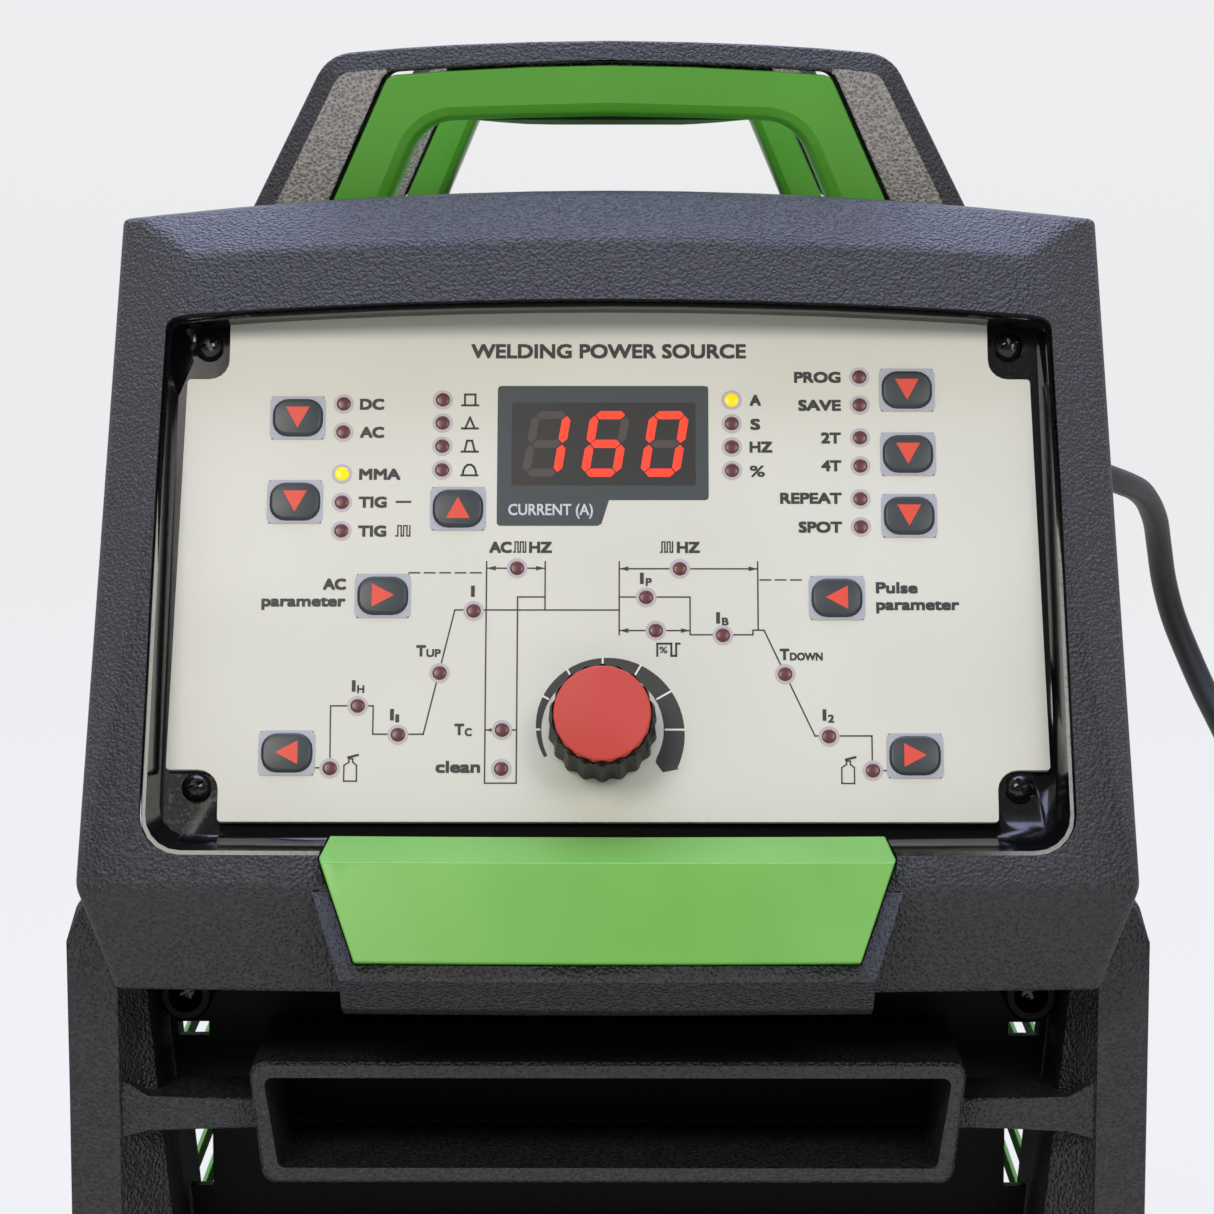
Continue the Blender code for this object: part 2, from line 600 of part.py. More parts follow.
def build_front_frame(front):
    """Moulded lower front: two posts, an air opening crossed by a bumper bar, and the socket bay."""
    shape = [(-FRAME_HALF, 0.0150), (FRAME_HALF, 0.0150), (FRAME_HALF, 0.2320), (0.1090, 0.2405),
             (-0.1090, 0.2405), (-FRAME_HALF, 0.2320)]
    frame = place(prism(rounded(shape, [0.004, 0.004, 0.002, 0.002, 0.002, 0.002], 3), -FRAME_DEPTH, 0, 0,
                        0.0010),
                  "front_frame", charcoal(), front)
    mouth = loft([
        [(x, z, 0.002) for x, z in rounded(quad(0.1012, 0.1010, OPENING_FOOT - 0.004, 0.2380), 0.003, 3)],
        [(x, z, 0.000) for x, z in rounded(quad(0.1012, 0.1010, OPENING_FOOT - 0.004, 0.2380), 0.003, 3)],
        [(x, z, -0.0085) for x, z in rounded(quad(0.0975, 0.0900, OPENING_FOOT, 0.2340), 0.003, 3)],
        [(x, z, -0.07) for x, z in rounded(quad(0.0975, 0.0900, OPENING_FOOT, 0.2340), 0.003, 3)]])
    boolean(frame, place(mouth, "mouth_tool", None, front, guide=True))
    seat = prism([(-0.1001, 0.2235), (0.1001, 0.2235), (0.1082, 0.2490), (-0.1082, 0.2490)], -0.07, 0.01)
    boolean(frame, place(seat, "housing_seat_tool", None, front, guide=True))
    bay = loft([[(x, z, depth) for x, z in rounded(box_corners(BAY_HALF + grow, BAY_FOOT - grow,
                                                               BAY_TOP + grow), 0.006, 3)]
                for depth, grow in ((0.002, 0.003), (0.0, 0.003), (-0.006, 0.0), (-0.07, 0.0))])
    boolean(frame, place(bay, "bay_tool", None, front, guide=True))
    outer = rounded(quad(BAR_TOP_HALF, BAR_FOOT_HALF, BAR_FOOT, BAR_TOP), 0.0030, 4)
    wall = BAR_WALL
    inner = rounded(quad(BAR_TOP_HALF - wall, BAR_FOOT_HALF - wall, BAR_FOOT + wall, BAR_TOP - wall), 0.0016,
                    4)
    levels = (-0.0300, 0.0060)
    bar = loft([[(x, z, levels[0]) for x, z in outer], [(x, z, levels[1] - 0.0008) for x, z in outer],
                [(x * 0.992, (z - 0.1953) * 0.95 + 0.1953, levels[1]) for x, z in outer],
                [(x, z, levels[1]) for x, z in inner], [(x, z, levels[0]) for x, z in inner]], True)
    boolean(frame, place(bar, "bar_tool", None, front, guide=True), "UNION")
    for sign in (-1, 1):
        outline = [(sign * x, z) for x, z in (
            (BAR_FOOT_HALF + 0.0009, ARM_FOOT), (0.0955, ARM_FOOT), (0.1025, 0.1893),
            (0.1025, 0.2037), (0.0955, ARM_TOP), (BAR_FOOT_HALF + 0.0009, ARM_TOP))]
        arm = prism(outline[::sign], -0.0190, -0.0011, 0, 0.0005)
        boolean(frame, place(arm, f"arm_tool_{sign}", None, front, guide=True), "UNION")
    return frame


def build_baffle(front):
    """Black wall behind the air opening, with slots at each side and a screw boss at each top corner."""
    wall = prism(rounded(quad(0.0960, 0.0890, OPENING_FOOT + 0.001, 0.2222), 0.003, 2), -0.0375, -0.0345)
    baffle = place(wall, "air_baffle", matt_black(), front)
    slots = bmesh.new()
    for sign in (-1, 1):
        near, far = sorted((sign * 0.0855, sign * 0.0925))
        add_block(slots, (near, 0.1705, -0.05), (far, 0.1890, 0.0))
        near, far = sorted((sign * 0.0860, sign * 0.0928))
        add_block(slots, (near, 0.2038, -0.05), (far, 0.2068, 0.0))
    boolean(baffle, place(slots, "baffle_slots_tool", None, front, guide=True))
    for sign in (-1, 1):
        boss = turned([(0, -0.0370), (0.0056, -0.0370), (0.0056, -0.0200), (0.0050, -0.0194), (0, -0.0194)],
                      28)
        boolean(baffle, place(boss, f"boss_tool_{sign}", None, front, (sign * BOSS_X, BOSS_Z, 0), True),
                "UNION")
        bore = turned([(0, -0.0260), (0.0036, -0.0260), (0.0036, 0.0), (0, 0.0)], 24)
        boolean(baffle, place(bore, f"bore_tool_{sign}", None, front, (sign * BOSS_X, BOSS_Z, 0), True))
        screw = turned([(0, -0.0257), (0.0032, -0.0257), (0.0032, -0.0240), (0.0024, -0.0230), (0, -0.0228)],
                       20)
        place(screw, "frame_screw_left" if sign < 0 else "frame_screw_right", gloss_black(), front,
              (sign * BOSS_X, BOSS_Z, 0))


def build_connector_panel(front):
    """Plate in the bay with two welding sockets, the gas outlet and the torch-trigger socket."""
    plate = prism(rounded(box_corners(BAY_HALF - GAP, BAY_FOOT + GAP, BAY_TOP - GAP), 0.0057, 3), -0.0120,
                  -0.0090)
    panel = place(plate, "connector_panel", gloss_black(), front)
    for x, radius in ((SOCKETS["minus"], 0.0155), (SOCKETS["plus"], 0.0155), (-0.014, 0.0070),
                      (0.016, 0.0088)):
        hole = turned([(0, -0.03), (radius, -0.03), (radius, 0.01), (0, 0.01)], 32)
        boolean(panel, place(hole, f"hole_tool_{radius:.4f}_{x:.3f}", None, front, (x, SOCKET_Z, 0), True))
    for name, x in SOCKETS.items():
        housing = turned_ring([(0.0098, -0.0330), (0.0152, -0.0330), (0.0152, -0.0087), (0.0205, -0.0087),
                               (0.0205, -0.0040), (0.0190, -0.0020), (0.0150, 0.0050), (0.0130, 0.0060),
                               (0.0098, 0.0060)], 40)
        place(housing, f"socket_{name}_housing", matt_black(), front, (x, SOCKET_Z, 0))
        contact = turned_ring([(0.0066, -0.0420), (0.0094, -0.0420), (0.0094, -0.0010), (0.0088, 0.0),
                               (0.0066, 0.0)], 32)
        place(contact, f"socket_{name}_contact", brass(), front, (x, SOCKET_Z, 0))
    gas = turned_ring([(0.0030, -0.0300), (0.0067, -0.0300), (0.0067, -0.0087), (0.0095, -0.0087),
                       (0.0095, -0.0040),
                       (0.0062, -0.0040), (0.0062, 0.0045), (0.0055, 0.0060), (0.0030, 0.0060)], 24)
    place(gas, "gas_outlet", brass(), front, (-0.014, SOCKET_Z, 0))
    control = turned_ring([(0.0062, -0.0087), (0.0105, -0.0087), (0.0105, -0.0060), (0.0085, -0.0055),
                           (0.0085, 0.0010),
                           (0.0068, 0.0010), (0.0068, -0.0050), (0.0062, -0.0060)], 32)
    control_piece = place(control, "trigger_socket", steel(), front, (0.016, SOCKET_Z, 0))
    core = turned([(0, -0.0200), (0.0080, -0.0200), (0.0080, -0.0080), (0.0064, -0.0072), (0, -0.0072)], 28)
    boolean(control_piece, place(core, "socket_core_tool", None, front, (0.016, SOCKET_Z, 0), True), "UNION")


# ---------------------------------------------------------------- body

def build_cover():
    """Folded sheet over the top and both sides, with long slots in each side."""
    inner = COVER_HALF - SHEET
    foot = TRAY_TOP + 0.0160
    outside = rounded([(-COVER_HALF, foot), (COVER_HALF, foot), (COVER_HALF, COVER_TOP),
                       (-COVER_HALF, COVER_TOP)],
                      [0, 0, 0.012, 0.012], 5)
    inside = rounded([(-inner, foot), (inner, foot), (inner, COVER_TOP - SHEET), (-inner, COVER_TOP - SHEET)],
                     [0, 0, 0.012 - SHEET, 0.012 - SHEET], 5)
    path = outside[1:] + outside[:1] + (inside[1:] + inside[:1])[::-1]
    bm = loft([[(p.x, y, p.y) for p in path] for y in (COVER_FRONT + GAP, COVER_REAR - GAP)])
    cover = place(bm, "cover", green_paint())
    slots = bmesh.new()
    for row in range(13):
        z = 0.0840 + 0.012 * row
        lean = (z - 0.084) * -0.28
        for start, length in ((-0.0960, 0.1020), (0.1100, 0.0700)):
            for sign in (-1, 1):
                middle = sign * COVER_HALF
                add_block(slots, (middle - 0.004, start + lean, z),
                          (middle + 0.004, start + lean + length, z + 0.0075))
    boolean(cover, place(slots, "side_slots_tool", None, guide=True))
    return cover


def build_base():
    """Folded base tray and its four feet."""
    low = FOOT_HEIGHT + GAP
    half = COVER_HALF - SHEET - GAP
    tray = block((-half, FRONT_Y + FRAME_DEPTH + 0.0008, low), (half, COVER_REAR - 0.002, low + 0.0015))
    base = place(tray, "base_tray", green_paint())
    for sign in (-1, 1):
        near, far = sorted((sign * (half - 0.0015), sign * half))
        lip = block((near, COVER_FRONT + 0.004, low + 0.0005), (far, COVER_REAR - 0.002, low + 0.0300))
        boolean(base, place(lip, f"base_lip_tool_{sign}", None, guide=True), "UNION")
    for end, y in (("front", -0.175), ("rear", 0.190)):
        for side, x in (("left", -0.080), ("right", 0.080)):
            foot = turned([(0, 0), (0.0130, 0), (0.0150, 0.0020), (0.0170, FOOT_HEIGHT), (0, FOOT_HEIGHT)],
                          24)
            place(foot, f"foot_{end}_{side}", rubber(), None, (x, y, 0))


def build_rear(rear):
    """Moulded rear frame round a sheet panel that carries the fan, switch, gland and gas inlet."""
    top = COVER_TOP - 0.0004
    shape = [(-FRAME_HALF, 0.0150), (FRAME_HALF, 0.0150), (FRAME_HALF, 0.2500), (0.1050, top),
             (-0.1050, top), (-FRAME_HALF, 0.2500)]
    depth = REAR_Y - COVER_REAR
    frame = place(prism(rounded(shape, [0.004, 0.004, 0.010, 0.012, 0.012, 0.010], 3), 0, depth, 0.0012,
                        0.0060),
                  "rear_frame", charcoal(), rear)
    mouth = [(-0.0980, 0.0260), (0.0980, 0.0260), (0.0980, 0.2500), (0.0930, 0.3520), (-0.0930, 0.3520),
             (-0.0980, 0.2500)]
    cutter = loft([[(x * s, (z - 0.19) * s + 0.19, level) for x, z in rounded(mouth, 0.008, 3)]
                   for level, s in ((-0.01, 1.0), (depth - 0.012, 1.0), (depth + 0.002, 1.035))])
    boolean(frame, place(cutter, "rear_mouth_tool", None, rear, guide=True))
    inset = GAP
    shape = [(-0.0980 + inset, 0.0260 + inset), (0.0980 - inset, 0.0260 + inset), (0.0980 - inset, 0.2500),
             (0.0930 - inset, 0.3520 - inset), (-0.0930 + inset, 0.3520 - inset), (-0.0980 + inset, 0.2500)]
    panel = place(prism(rounded(shape, 0.0077, 3), 0.0160, 0.0175), "rear_panel", matt_black(), rear)
    tools = bmesh.new()
    made = bmesh.ops.create_cone(tools, cap_ends=True, segments=48, radius1=0.056, radius2=0.056, depth=0.06)
    bmesh.ops.translate(tools, verts=made["verts"], vec=(-FAN_AT[0], FAN_AT[1], 0.016))
    add_block(tools, (-SWITCH_AT[0] - 0.0112, SWITCH_AT[1] - 0.0142, 0),
              (-SWITCH_AT[0] + 0.0112, SWITCH_AT[1] + 0.0142, 0.03))
    for (x, z), radius in ((GLAND_AT, 0.0103), (GAS_AT, 0.0063)):
        made = bmesh.ops.create_cone(tools, cap_ends=True, segments=32, radius1=radius, radius2=radius,
                                     depth=0.03)
        bmesh.ops.translate(tools, verts=made["verts"], vec=(-x, z, 0.016))
    boolean(panel, place(tools, "rear_holes_tool", None, rear, guide=True))


def build_fan(rear):
    """Axial fan: square frame, bladed rotor on its hub, and the guard over it."""
    x, z = -FAN_AT[0], FAN_AT[1]
    body = prism(rounded(box_corners(FAN_HALF, -FAN_HALF, FAN_HALF), 0.006, 3), -0.0095, 0.0157)
    frame = place(body, "fan_frame", matt_black(), rear, (x, z, 0))
    bore = turned([(0, -0.02), (0.0560, -0.02), (0.0560, 0.05), (0, 0.05)], 48)
    boolean(frame, place(bore, "fan_bore_tool", None, rear, (x, z, 0), True))
    mount = turned([(0, -0.0094), (0.0200, -0.0094), (0.0200, -0.0075), (0, -0.0075)], 32)
    boolean(frame, place(mount, "fan_mount_tool", None, rear, (x, z, 0), True), "UNION")
    for strut in range(2):
        bm = block((-0.0570, -0.0022, -0.0093), (0.0570, 0.0022, -0.0076))
        turn = Matrix.Rotation(math.pi / 2 * strut + 0.4, 3, "Z")
        bmesh.ops.rotate(bm, verts=bm.verts, cent=(0, 0, 0), matrix=turn)
        boolean(frame, place(bm, f"fan_strut_tool_{strut}", None, rear, (x, z, 0), True), "UNION")
    hub = turned([(0, -0.0070), (0.0190, -0.0070), (0.0200, -0.0055), (0.0200, 0.0110), (0.0185, 0.0130),
                  (0, 0.0130)], 36)
    rotor = place(hub, "fan_rotor", matt_black(), rear, (x, z, 0))
    for blade in range(7):
        bm = block((0.0185, -0.0130, -0.0009), (0.0540, 0.0130, 0.0009))
        bmesh.ops.rotate(bm, verts=bm.verts, cent=(0, 0, 0), matrix=Matrix.Rotation(math.radians(32), 3, "X"))
        bmesh.ops.translate(bm, verts=bm.verts, vec=(0, 0, 0.003))
        bmesh.ops.rotate(bm, verts=bm.verts, cent=(0, 0, 0),
                         matrix=Matrix.Rotation(math.tau * blade / 7, 3, "Z"))
        boolean(rotor, place(bm, f"blade_tool_{blade}", None, rear, (x, z, 0), True), "UNION")
    base = 0.0178
    guard = place(turned_ring([(0.0555, base), (0.0600, base), (0.0600, base + 0.0016),
                               (0.0580, base + 0.0045),
                               (0.0555, base + 0.0045)], 40), "fan_guard", matt_black(), rear, (x, z, 0))
    for ring in range(4):
        r = 0.0110 + 0.0125 * ring
        hoop = turned_ring([(r, base + 0.0015), (r + 0.0018, base + 0.0015), (r + 0.0018, base + 0.0045),
                            (r, base + 0.0045)], 32)
        boolean(guard, place(hoop, f"hoop_tool_{ring}", None, rear, (x, z, 0), True), "UNION")
    for spoke in range(2):
        bm = block((-0.0570, -0.0011, base + 0.0010), (0.0570, 0.0011, base + 0.0040))
        turn = Matrix.Rotation(math.pi / 4 + math.pi / 2 * spoke, 3, "Z")
        bmesh.ops.rotate(bm, verts=bm.verts, cent=(0, 0, 0), matrix=turn)
        boolean(guard, place(bm, f"spoke_tool_{spoke}", None, rear, (x, z, 0), True), "UNION")


def build_rear_fittings(rear):
    """Mains switch, cable gland and gas inlet."""
    x, z = -SWITCH_AT[0], SWITCH_AT[1]
    frame = prism(rounded([(-0.0128, -0.0160), (0.0128, -0.0160), (0.0128, 0.0160), (-0.0128, 0.0160)],
                          0.0015, 2),
                  0.0178, 0.0200, 0, 0.0006)
    switch = place(frame, "mains_switch_frame", gloss_black(), rear, (x, z, 0))
    sleeve = block((-0.0108, -0.0138, -0.0020), (0.0108, 0.0138, 0.0190))
    boolean(switch, place(sleeve, "switch_sleeve_tool", None, rear, (x, z, 0), True), "UNION")
    well = block((-0.0092, -0.0122, 0.0050), (0.0092, 0.0122, 0.05))
    boolean(switch, place(well, "switch_well_tool", None, rear, (x, z, 0), True))
    rocker = [(-0.0105, 0.0175), (-0.0105, 0.0225), (0.0, 0.0205), (0.0105, 0.0253), (0.0105, 0.0165),
              (0, 0.0090)]
    bm = loft([[(side, p[0], p[1] - 0.0170) for p in rocker] for side in (-0.0087, 0.0087)])
    place(bm, "mains_switch_rocker", red_plastic(), rear, (x, z, 0.0170))
    x, z = -GLAND_AT[0], GLAND_AT[1]
    gland = turned_ring([(CORD_RADIUS + GAP, -0.0060), (0.0100, -0.0060), (0.0100, 0.0178), (0.0150, 0.0178),
                         (0.0150, 0.0250), (0.0125, 0.0260), (0.0125, 0.0360), (0.0100, 0.0400),
                         (CORD_RADIUS + GAP, 0.0400)], 24)
    place(gland, "cable_gland", matt_black(), rear, (x, z, 0))
    x, z = -GAS_AT[0], GAS_AT[1]
    inlet = turned_ring([(0.0024, -0.0060), (0.0060, -0.0060), (0.0060, 0.0178), (0.0090, 0.0178),
                         (0.0090, 0.0240),
                         (0.0050, 0.0240), (0.0050, 0.0300), (0.0040, 0.0330), (0.0046, 0.0340),
                         (0.0036, 0.0400),
                         (0.0024, 0.0400)], 24)
    place(inlet, "gas_inlet", brass(), rear, (x, z, 0))


# ---------------------------------------------------------------- handle

ARCH_FRONT, ARCH_REAR, ARCH_DEPTH = -0.1650, 0.2370, 0.0260
ARCH_FOOT = COVER_TOP + GAP
ARCH_CHAMFER = 0.0042            # width of the sloping band round each arch
LINER_ROUND = 0.0030


def rounded_open(corners, radii, steps=5):
    """Rounds the corners that have a radius on an open line that mirrors itself about its middle corner."""
    points = [Vector(corners[0])]
    for i in range(1, len(corners) - 1):
        radius = radii.get(min(i, len(corners) - 1 - i), 0)
        if radius:
            points += rounded([corners[i - 1], corners[i], corners[i + 1]], [0, radius, 0], steps)[1:-1]
        else:
            points.append(Vector(corners[i]))
    return points + [Vector(corners[-1])]


def moved_in(points, amount):
    """The same open line moved to its right by an amount, with its two feet kept at their height."""
    moved = []
    for i, point in enumerate(points):
        along = (points[min(i + 1, len(points) - 1)] - points[max(i - 1, 0)]).normalized()
        aside = Vector((along.y, -along.x)) * amount
        if i in (0, len(points) - 1):
            aside = Vector((aside.length_squared / aside.x if amount else 0, 0))
        moved.append(point + aside)
    return moved


def arch_solid(outer, inner, outer_radii, inner_radii, levels):
    """An arch between two half outlines, each from a foot to the middle of the top. Each level gives a depth,
    how far the outer line is moved in there, and how far the inner one is moved out."""
    def whole(half):
        return half + [(-x, z) for x, z in half[-2::-1]]
    outside = rounded_open(whole([(-x, z) for x, z in outer]), outer_radii)
    inside = rounded_open(whole([(-x, z) for x, z in inner]), inner_radii, 8)
    loops = []
    for depth, cut, opened in levels:
        path = moved_in(outside, cut) + moved_in(inside, -opened)[::-1]
        loops.append([(p.x, depth, p.y) for p in path])
    return loft(loops)


def build_arch(name, y):
    """One end of the handle: a dark shell with a wide chamfer round it, and a green liner in it."""
    back = y + ARCH_DEPTH
    shell = arch_solid(
        [(0.0840, ARCH_FOOT), (0.0616, 0.4130), (0.0456, 0.4144), (0.0340, 0.4151), (0.0180, 0.4157),
         (0, 0.4160)],
        [(0.0672, ARCH_FOOT), (0.0489, 0.4091), (0.0360, 0.4100), (0.0180, 0.4109), (0, 0.4113)],
        {1: 0.0090, 2: 0.02}, {1: 0.0030},
        [(y, ARCH_CHAMFER, 0), (y + 0.0022, 0, 0), (back - 0.0022, 0, 0), (back, ARCH_CHAMFER, 0)])
    place(shell, f"handle_{name}_arch", charcoal())
    liner = arch_solid(
        [(0.0664, ARCH_FOOT), (0.0483, 0.4085), (0.0360, 0.4094), (0.0180, 0.4103), (0, 0.4107)],
        [(0.0537, ARCH_FOOT), (0.0409, 0.3984), (0.0200, 0.3992), (0, 0.3996)],
        {1: 0.0030}, {1: 0.0107},
        [(y + 0.0004, 0, LINER_ROUND), (y + 0.0014, 0, 0.3 * LINER_ROUND), (y + 0.0004 + LINER_ROUND, 0, 0),
         (back - 0.0004 - LINER_ROUND, 0, 0), (back - 0.0014, 0, 0.3 * LINER_ROUND),
         (back - 0.0004, 0, LINER_ROUND)])
    place(liner, f"handle_{name}_liner", green_plastic())


def build_grip():
    """The bar that joins the two arches, waisted where the hand goes."""
    start, end = ARCH_FRONT + ARCH_DEPTH + GAP, ARCH_REAR - GAP
    loops = []
    count = 16
    for step in range(count + 1):
        share = step / count
        flare = abs(2 * share - 1) ** 3
        half = 0.0180 + 0.0190 * flare
        low, high = 0.3955 + 0.0030 * flare, 0.4136
        y = start + (end - start) * share
        loops.append([(p.x, y, p.y) for p in rounded(box_corners(half, low, high), 0.0060, 4)])
    place(loft(loops), "handle_grip", charcoal())


# ---------------------------------------------------------------- inside

def build_inside():
    """Power parts between the two ends, kept clear of the side walls."""
    low = TRAY_TOP + 0.0005
    fins = block((-0.0700, -0.1500, low + 0.0600), (0.0700, 0.0400, low + 0.0680))
    sink = place(fins, "heat_sink", aluminium())
    for fin in range(9):
        x = -0.0680 + 0.0170 * fin
        blade = block((x - 0.0010, -0.1500, low + 0.0200), (x + 0.0010, 0.0400, low + 0.0610))
        boolean(sink, place(blade, f"fin_tool_{fin}", None, guide=True), "UNION")
    for sign in (-1, 1):
        near, far = sorted((sign * 0.0680, sign * 0.0700))
        leg = block((near, -0.1500, low), (far, 0.0400, low + 0.0610))
        boolean(sink, place(leg, f"sink_leg_tool_{sign}", None, guide=True), "UNION")
    board = block((-0.0720, -0.1520, 0.1580), (0.0720, 0.1400, 0.1596))
    place(board, "power_board", board_green())
    core = block((-0.0350, 0.0600, low), (0.0350, 0.1400, low + 0.0700), 0.002)
    transformer = place(core, "transformer_core", matt_black())
    for sign in (-1, 1):
        near, far = sorted((sign * 0.0120, sign * 0.0260))
        window = block((near, 0.05, low + 0.0140), (far, 0.15, low + 0.0560))
        boolean(transformer, place(window, f"core_window_tool_{sign}", None, guide=True))
    outline = rounded([(-0.0255, 0.0), (0.0255, 0.0), (0.0255, 0.0980), (-0.0255, 0.0980)], 0.008, 3)
    hole = rounded([(-0.0123, 0.0087), (0.0123, 0.0087), (0.0123, 0.0893), (-0.0123, 0.0893)], 0.0005, 3)
    winding = loft([[(x, 0.0510 + y, z) for x, y in ring] for ring, z in
                    ((outline, low + 0.0145), (outline, low + 0.0555), (hole, low + 0.0555),
                     (hole, low + 0.0145))], True)
    place(winding, "transformer_winding", copper())


# ---------------------------------------------------------------- mains lead

CORD_POINTS = [
    (0.0780, 0.2683, 0.2830), (0.0780, 0.2740, 0.2830), (0.0833, 0.2940, 0.2828), (0.0980, 0.3088, 0.2815),
    (0.1220, 0.3212, 0.2786), (0.1460, 0.3318, 0.2746), (0.1635, 0.3420, 0.2700), (0.1761, 0.3570, 0.2652),
    (0.1880, 0.3780, 0.2585), (0.1950, 0.3940, 0.2480), (0.1982, 0.4040, 0.2365), (0.2010, 0.4100, 0.2230),
    (0.2050, 0.4115, 0.2090), (0.2103, 0.4085, 0.1955), (0.2156, 0.4025, 0.1830), (0.2210, 0.3945, 0.1715),
    (0.2290, 0.3830, 0.1540), (0.2395, 0.3660, 0.1270), (0.2510, 0.3440, 0.0960), (0.2620, 0.3200, 0.0660),
    (0.2710, 0.2950, 0.0400), (0.2780, 0.2700, 0.0210), (0.2823, 0.2460, 0.0098), (0.2843, 0.2210, 0.0056),
    (0.2846, 0.1942, 0.0049),
]
PLUG_AT = (0.2800, 0.0860, 0.0240)


def smooth_route(points, spacing):
    """Evenly spaced points of a Catmull-Rom curve through the given ones."""
    ends = [2 * Vector(points[0]) - Vector(points[1])] + [Vector(p) for p in points]
    ends.append(2 * Vector(points[-1]) - Vector(points[-2]))
    dense = []
    for a, b, c, d in zip(ends, ends[1:], ends[2:], ends[3:]):
        for step in range(20):
            t = step / 20
            dense.append(0.5 * (2 * b + (c - a) * t + (2 * a - 5 * b + 4 * c - d) * t * t
                                + (3 * b - a - 3 * c + d) * t ** 3))
    dense.append(Vector(points[-1]))
    lengths = [0.0]
    for one, two in zip(dense, dense[1:]):
        lengths.append(lengths[-1] + (two - one).length)
    count = max(2, round(lengths[-1] / spacing))
    route = []
    at = 0
    for step in range(count + 1):
        want = lengths[-1] * step / count
        while at < len(dense) - 2 and lengths[at + 1] < want:
            at += 1
        share = (want - lengths[at]) / (lengths[at + 1] - lengths[at])
        route.append(dense[at].lerp(dense[at + 1], min(1.0, share)))
    return route


def build_tube(name, points, radius):
    curve = bpy.data.curves.new(name, "CURVE")
    curve.dimensions = "3D"
    curve.bevel_depth = radius
    curve.bevel_resolution = 2
    curve.use_fill_caps = True
    route = smooth_route(points, 2.4 * 2 * radius)
    spline = curve.splines.new("POLY")
    spline.points.add(len(route) - 1)
    for point, at in zip(spline.points, route):
        point.co = (*at, 1)
    curve.materials.append(rubber())
    tube = bpy.data.objects.new(name, curve)
    bpy.context.scene.collection.objects.link(tube)


def build_lead():
    """Mains lead from the gland to the floor, its coil, and the industrial plug at its end."""
    build_tube("mains_cord", CORD_POINTS, CORD_RADIUS)
    width = 2 * CORD_RADIUS
    height = 3 * width
    ring = turned_ring([(COIL_RADIUS - width, COIL_LIFT), (COIL_RADIUS + width, COIL_LIFT),
                        (COIL_RADIUS + width, COIL_LIFT + height),
                        (COIL_RADIUS - width, COIL_LIFT + height)], 32)
    place(ring, "cord_coil", rubber(), None, (*COIL_CENTRE, 0))


def build_plug():
    """Three-pin industrial plug lying beside the coil, pins away from the cord."""
    frame = empty_frame("plug_frame", PLUG_AT, math.radians(90))
    shell = turned([(0, 0.0), (0.0085, 0), (0.0105, 0.0160), (0.0180, 0.0190), (0.0195, 0.0240),
                    (0.0195, 0.0560),
                    (0.0235, 0.0600), (0.0235, 0.0980), (0.0225, 0.1000), (0.0205, 0.1000), (0.0205, 0.0640),
                    (0, 0.0640)], 36)
    plug = place(shell, "mains_plug", blue_plastic(), frame)
    for pin, angle in enumerate((90, 210, 330)):
        rod = turned([(0, 0.060), (0.0025, 0.060), (0.0025, 0.0955), (0.0015, 0.0970), (0, 0.0970)], 12)
        turn = math.radians(angle)
        at = (0.0115 * math.cos(turn), 0.0115 * math.sin(turn), 0)
        boolean(plug, place(rod, f"pin_tool_{pin}", None, frame, at, True), "UNION")


def main():
    for old in list(bpy.data.objects):
        bpy.data.objects.remove(old)
    panel = empty_frame("panel_frame", PANEL_ORIGIN, math.radians(90) - PANEL_TILT)
    front = empty_frame("front_frame_axis", (0, FRONT_Y, 0), math.radians(90))
    rear = bpy.data.objects.new("rear_frame_axis", None)
    rear.location = (0, COVER_REAR, 0)
    rear.rotation_euler = (math.radians(90), 0, math.radians(180))
    bpy.context.scene.collection.objects.link(rear)
    build_housing(panel)
    build_badge(panel)
    build_tray(panel)
    build_plate(panel)
    build_keys(panel)
    build_knob(panel)
    build_panel_screws(panel)
    build_control_board(panel)
    build_front_frame(front)
    build_baffle(front)
    build_connector_panel(front)
    build_cover()
    build_base()
    build_rear(rear)
    build_fan(rear)
    build_rear_fittings(rear)
    build_arch("front", ARCH_FRONT)
    build_arch("rear", ARCH_REAR)
    build_grip()
    build_inside()
    build_lead()
    build_plug()


main()
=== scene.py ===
import json
import math

import bmesh
import bpy
from mathutils import Matrix, Vector


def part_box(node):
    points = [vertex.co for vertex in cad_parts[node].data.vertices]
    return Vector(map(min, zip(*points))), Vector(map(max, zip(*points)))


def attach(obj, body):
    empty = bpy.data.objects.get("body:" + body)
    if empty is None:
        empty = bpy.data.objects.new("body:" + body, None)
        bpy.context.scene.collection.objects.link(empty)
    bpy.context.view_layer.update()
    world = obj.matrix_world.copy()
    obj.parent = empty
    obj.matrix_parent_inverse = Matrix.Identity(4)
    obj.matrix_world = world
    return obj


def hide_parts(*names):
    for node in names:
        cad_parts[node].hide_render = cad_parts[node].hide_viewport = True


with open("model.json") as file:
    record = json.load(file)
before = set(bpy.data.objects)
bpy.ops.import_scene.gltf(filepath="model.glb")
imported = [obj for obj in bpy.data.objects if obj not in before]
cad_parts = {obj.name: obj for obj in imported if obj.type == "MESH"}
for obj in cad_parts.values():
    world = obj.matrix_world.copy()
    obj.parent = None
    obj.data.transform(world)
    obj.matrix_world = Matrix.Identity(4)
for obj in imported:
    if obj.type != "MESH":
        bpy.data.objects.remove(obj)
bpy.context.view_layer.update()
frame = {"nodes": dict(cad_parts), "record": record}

scene = bpy.context.scene
mm = 0.001
bodyOf = {name: body for body, names in frame["record"]["behaviour"]["bodies"].items() for name in names}
print("frame loaded")


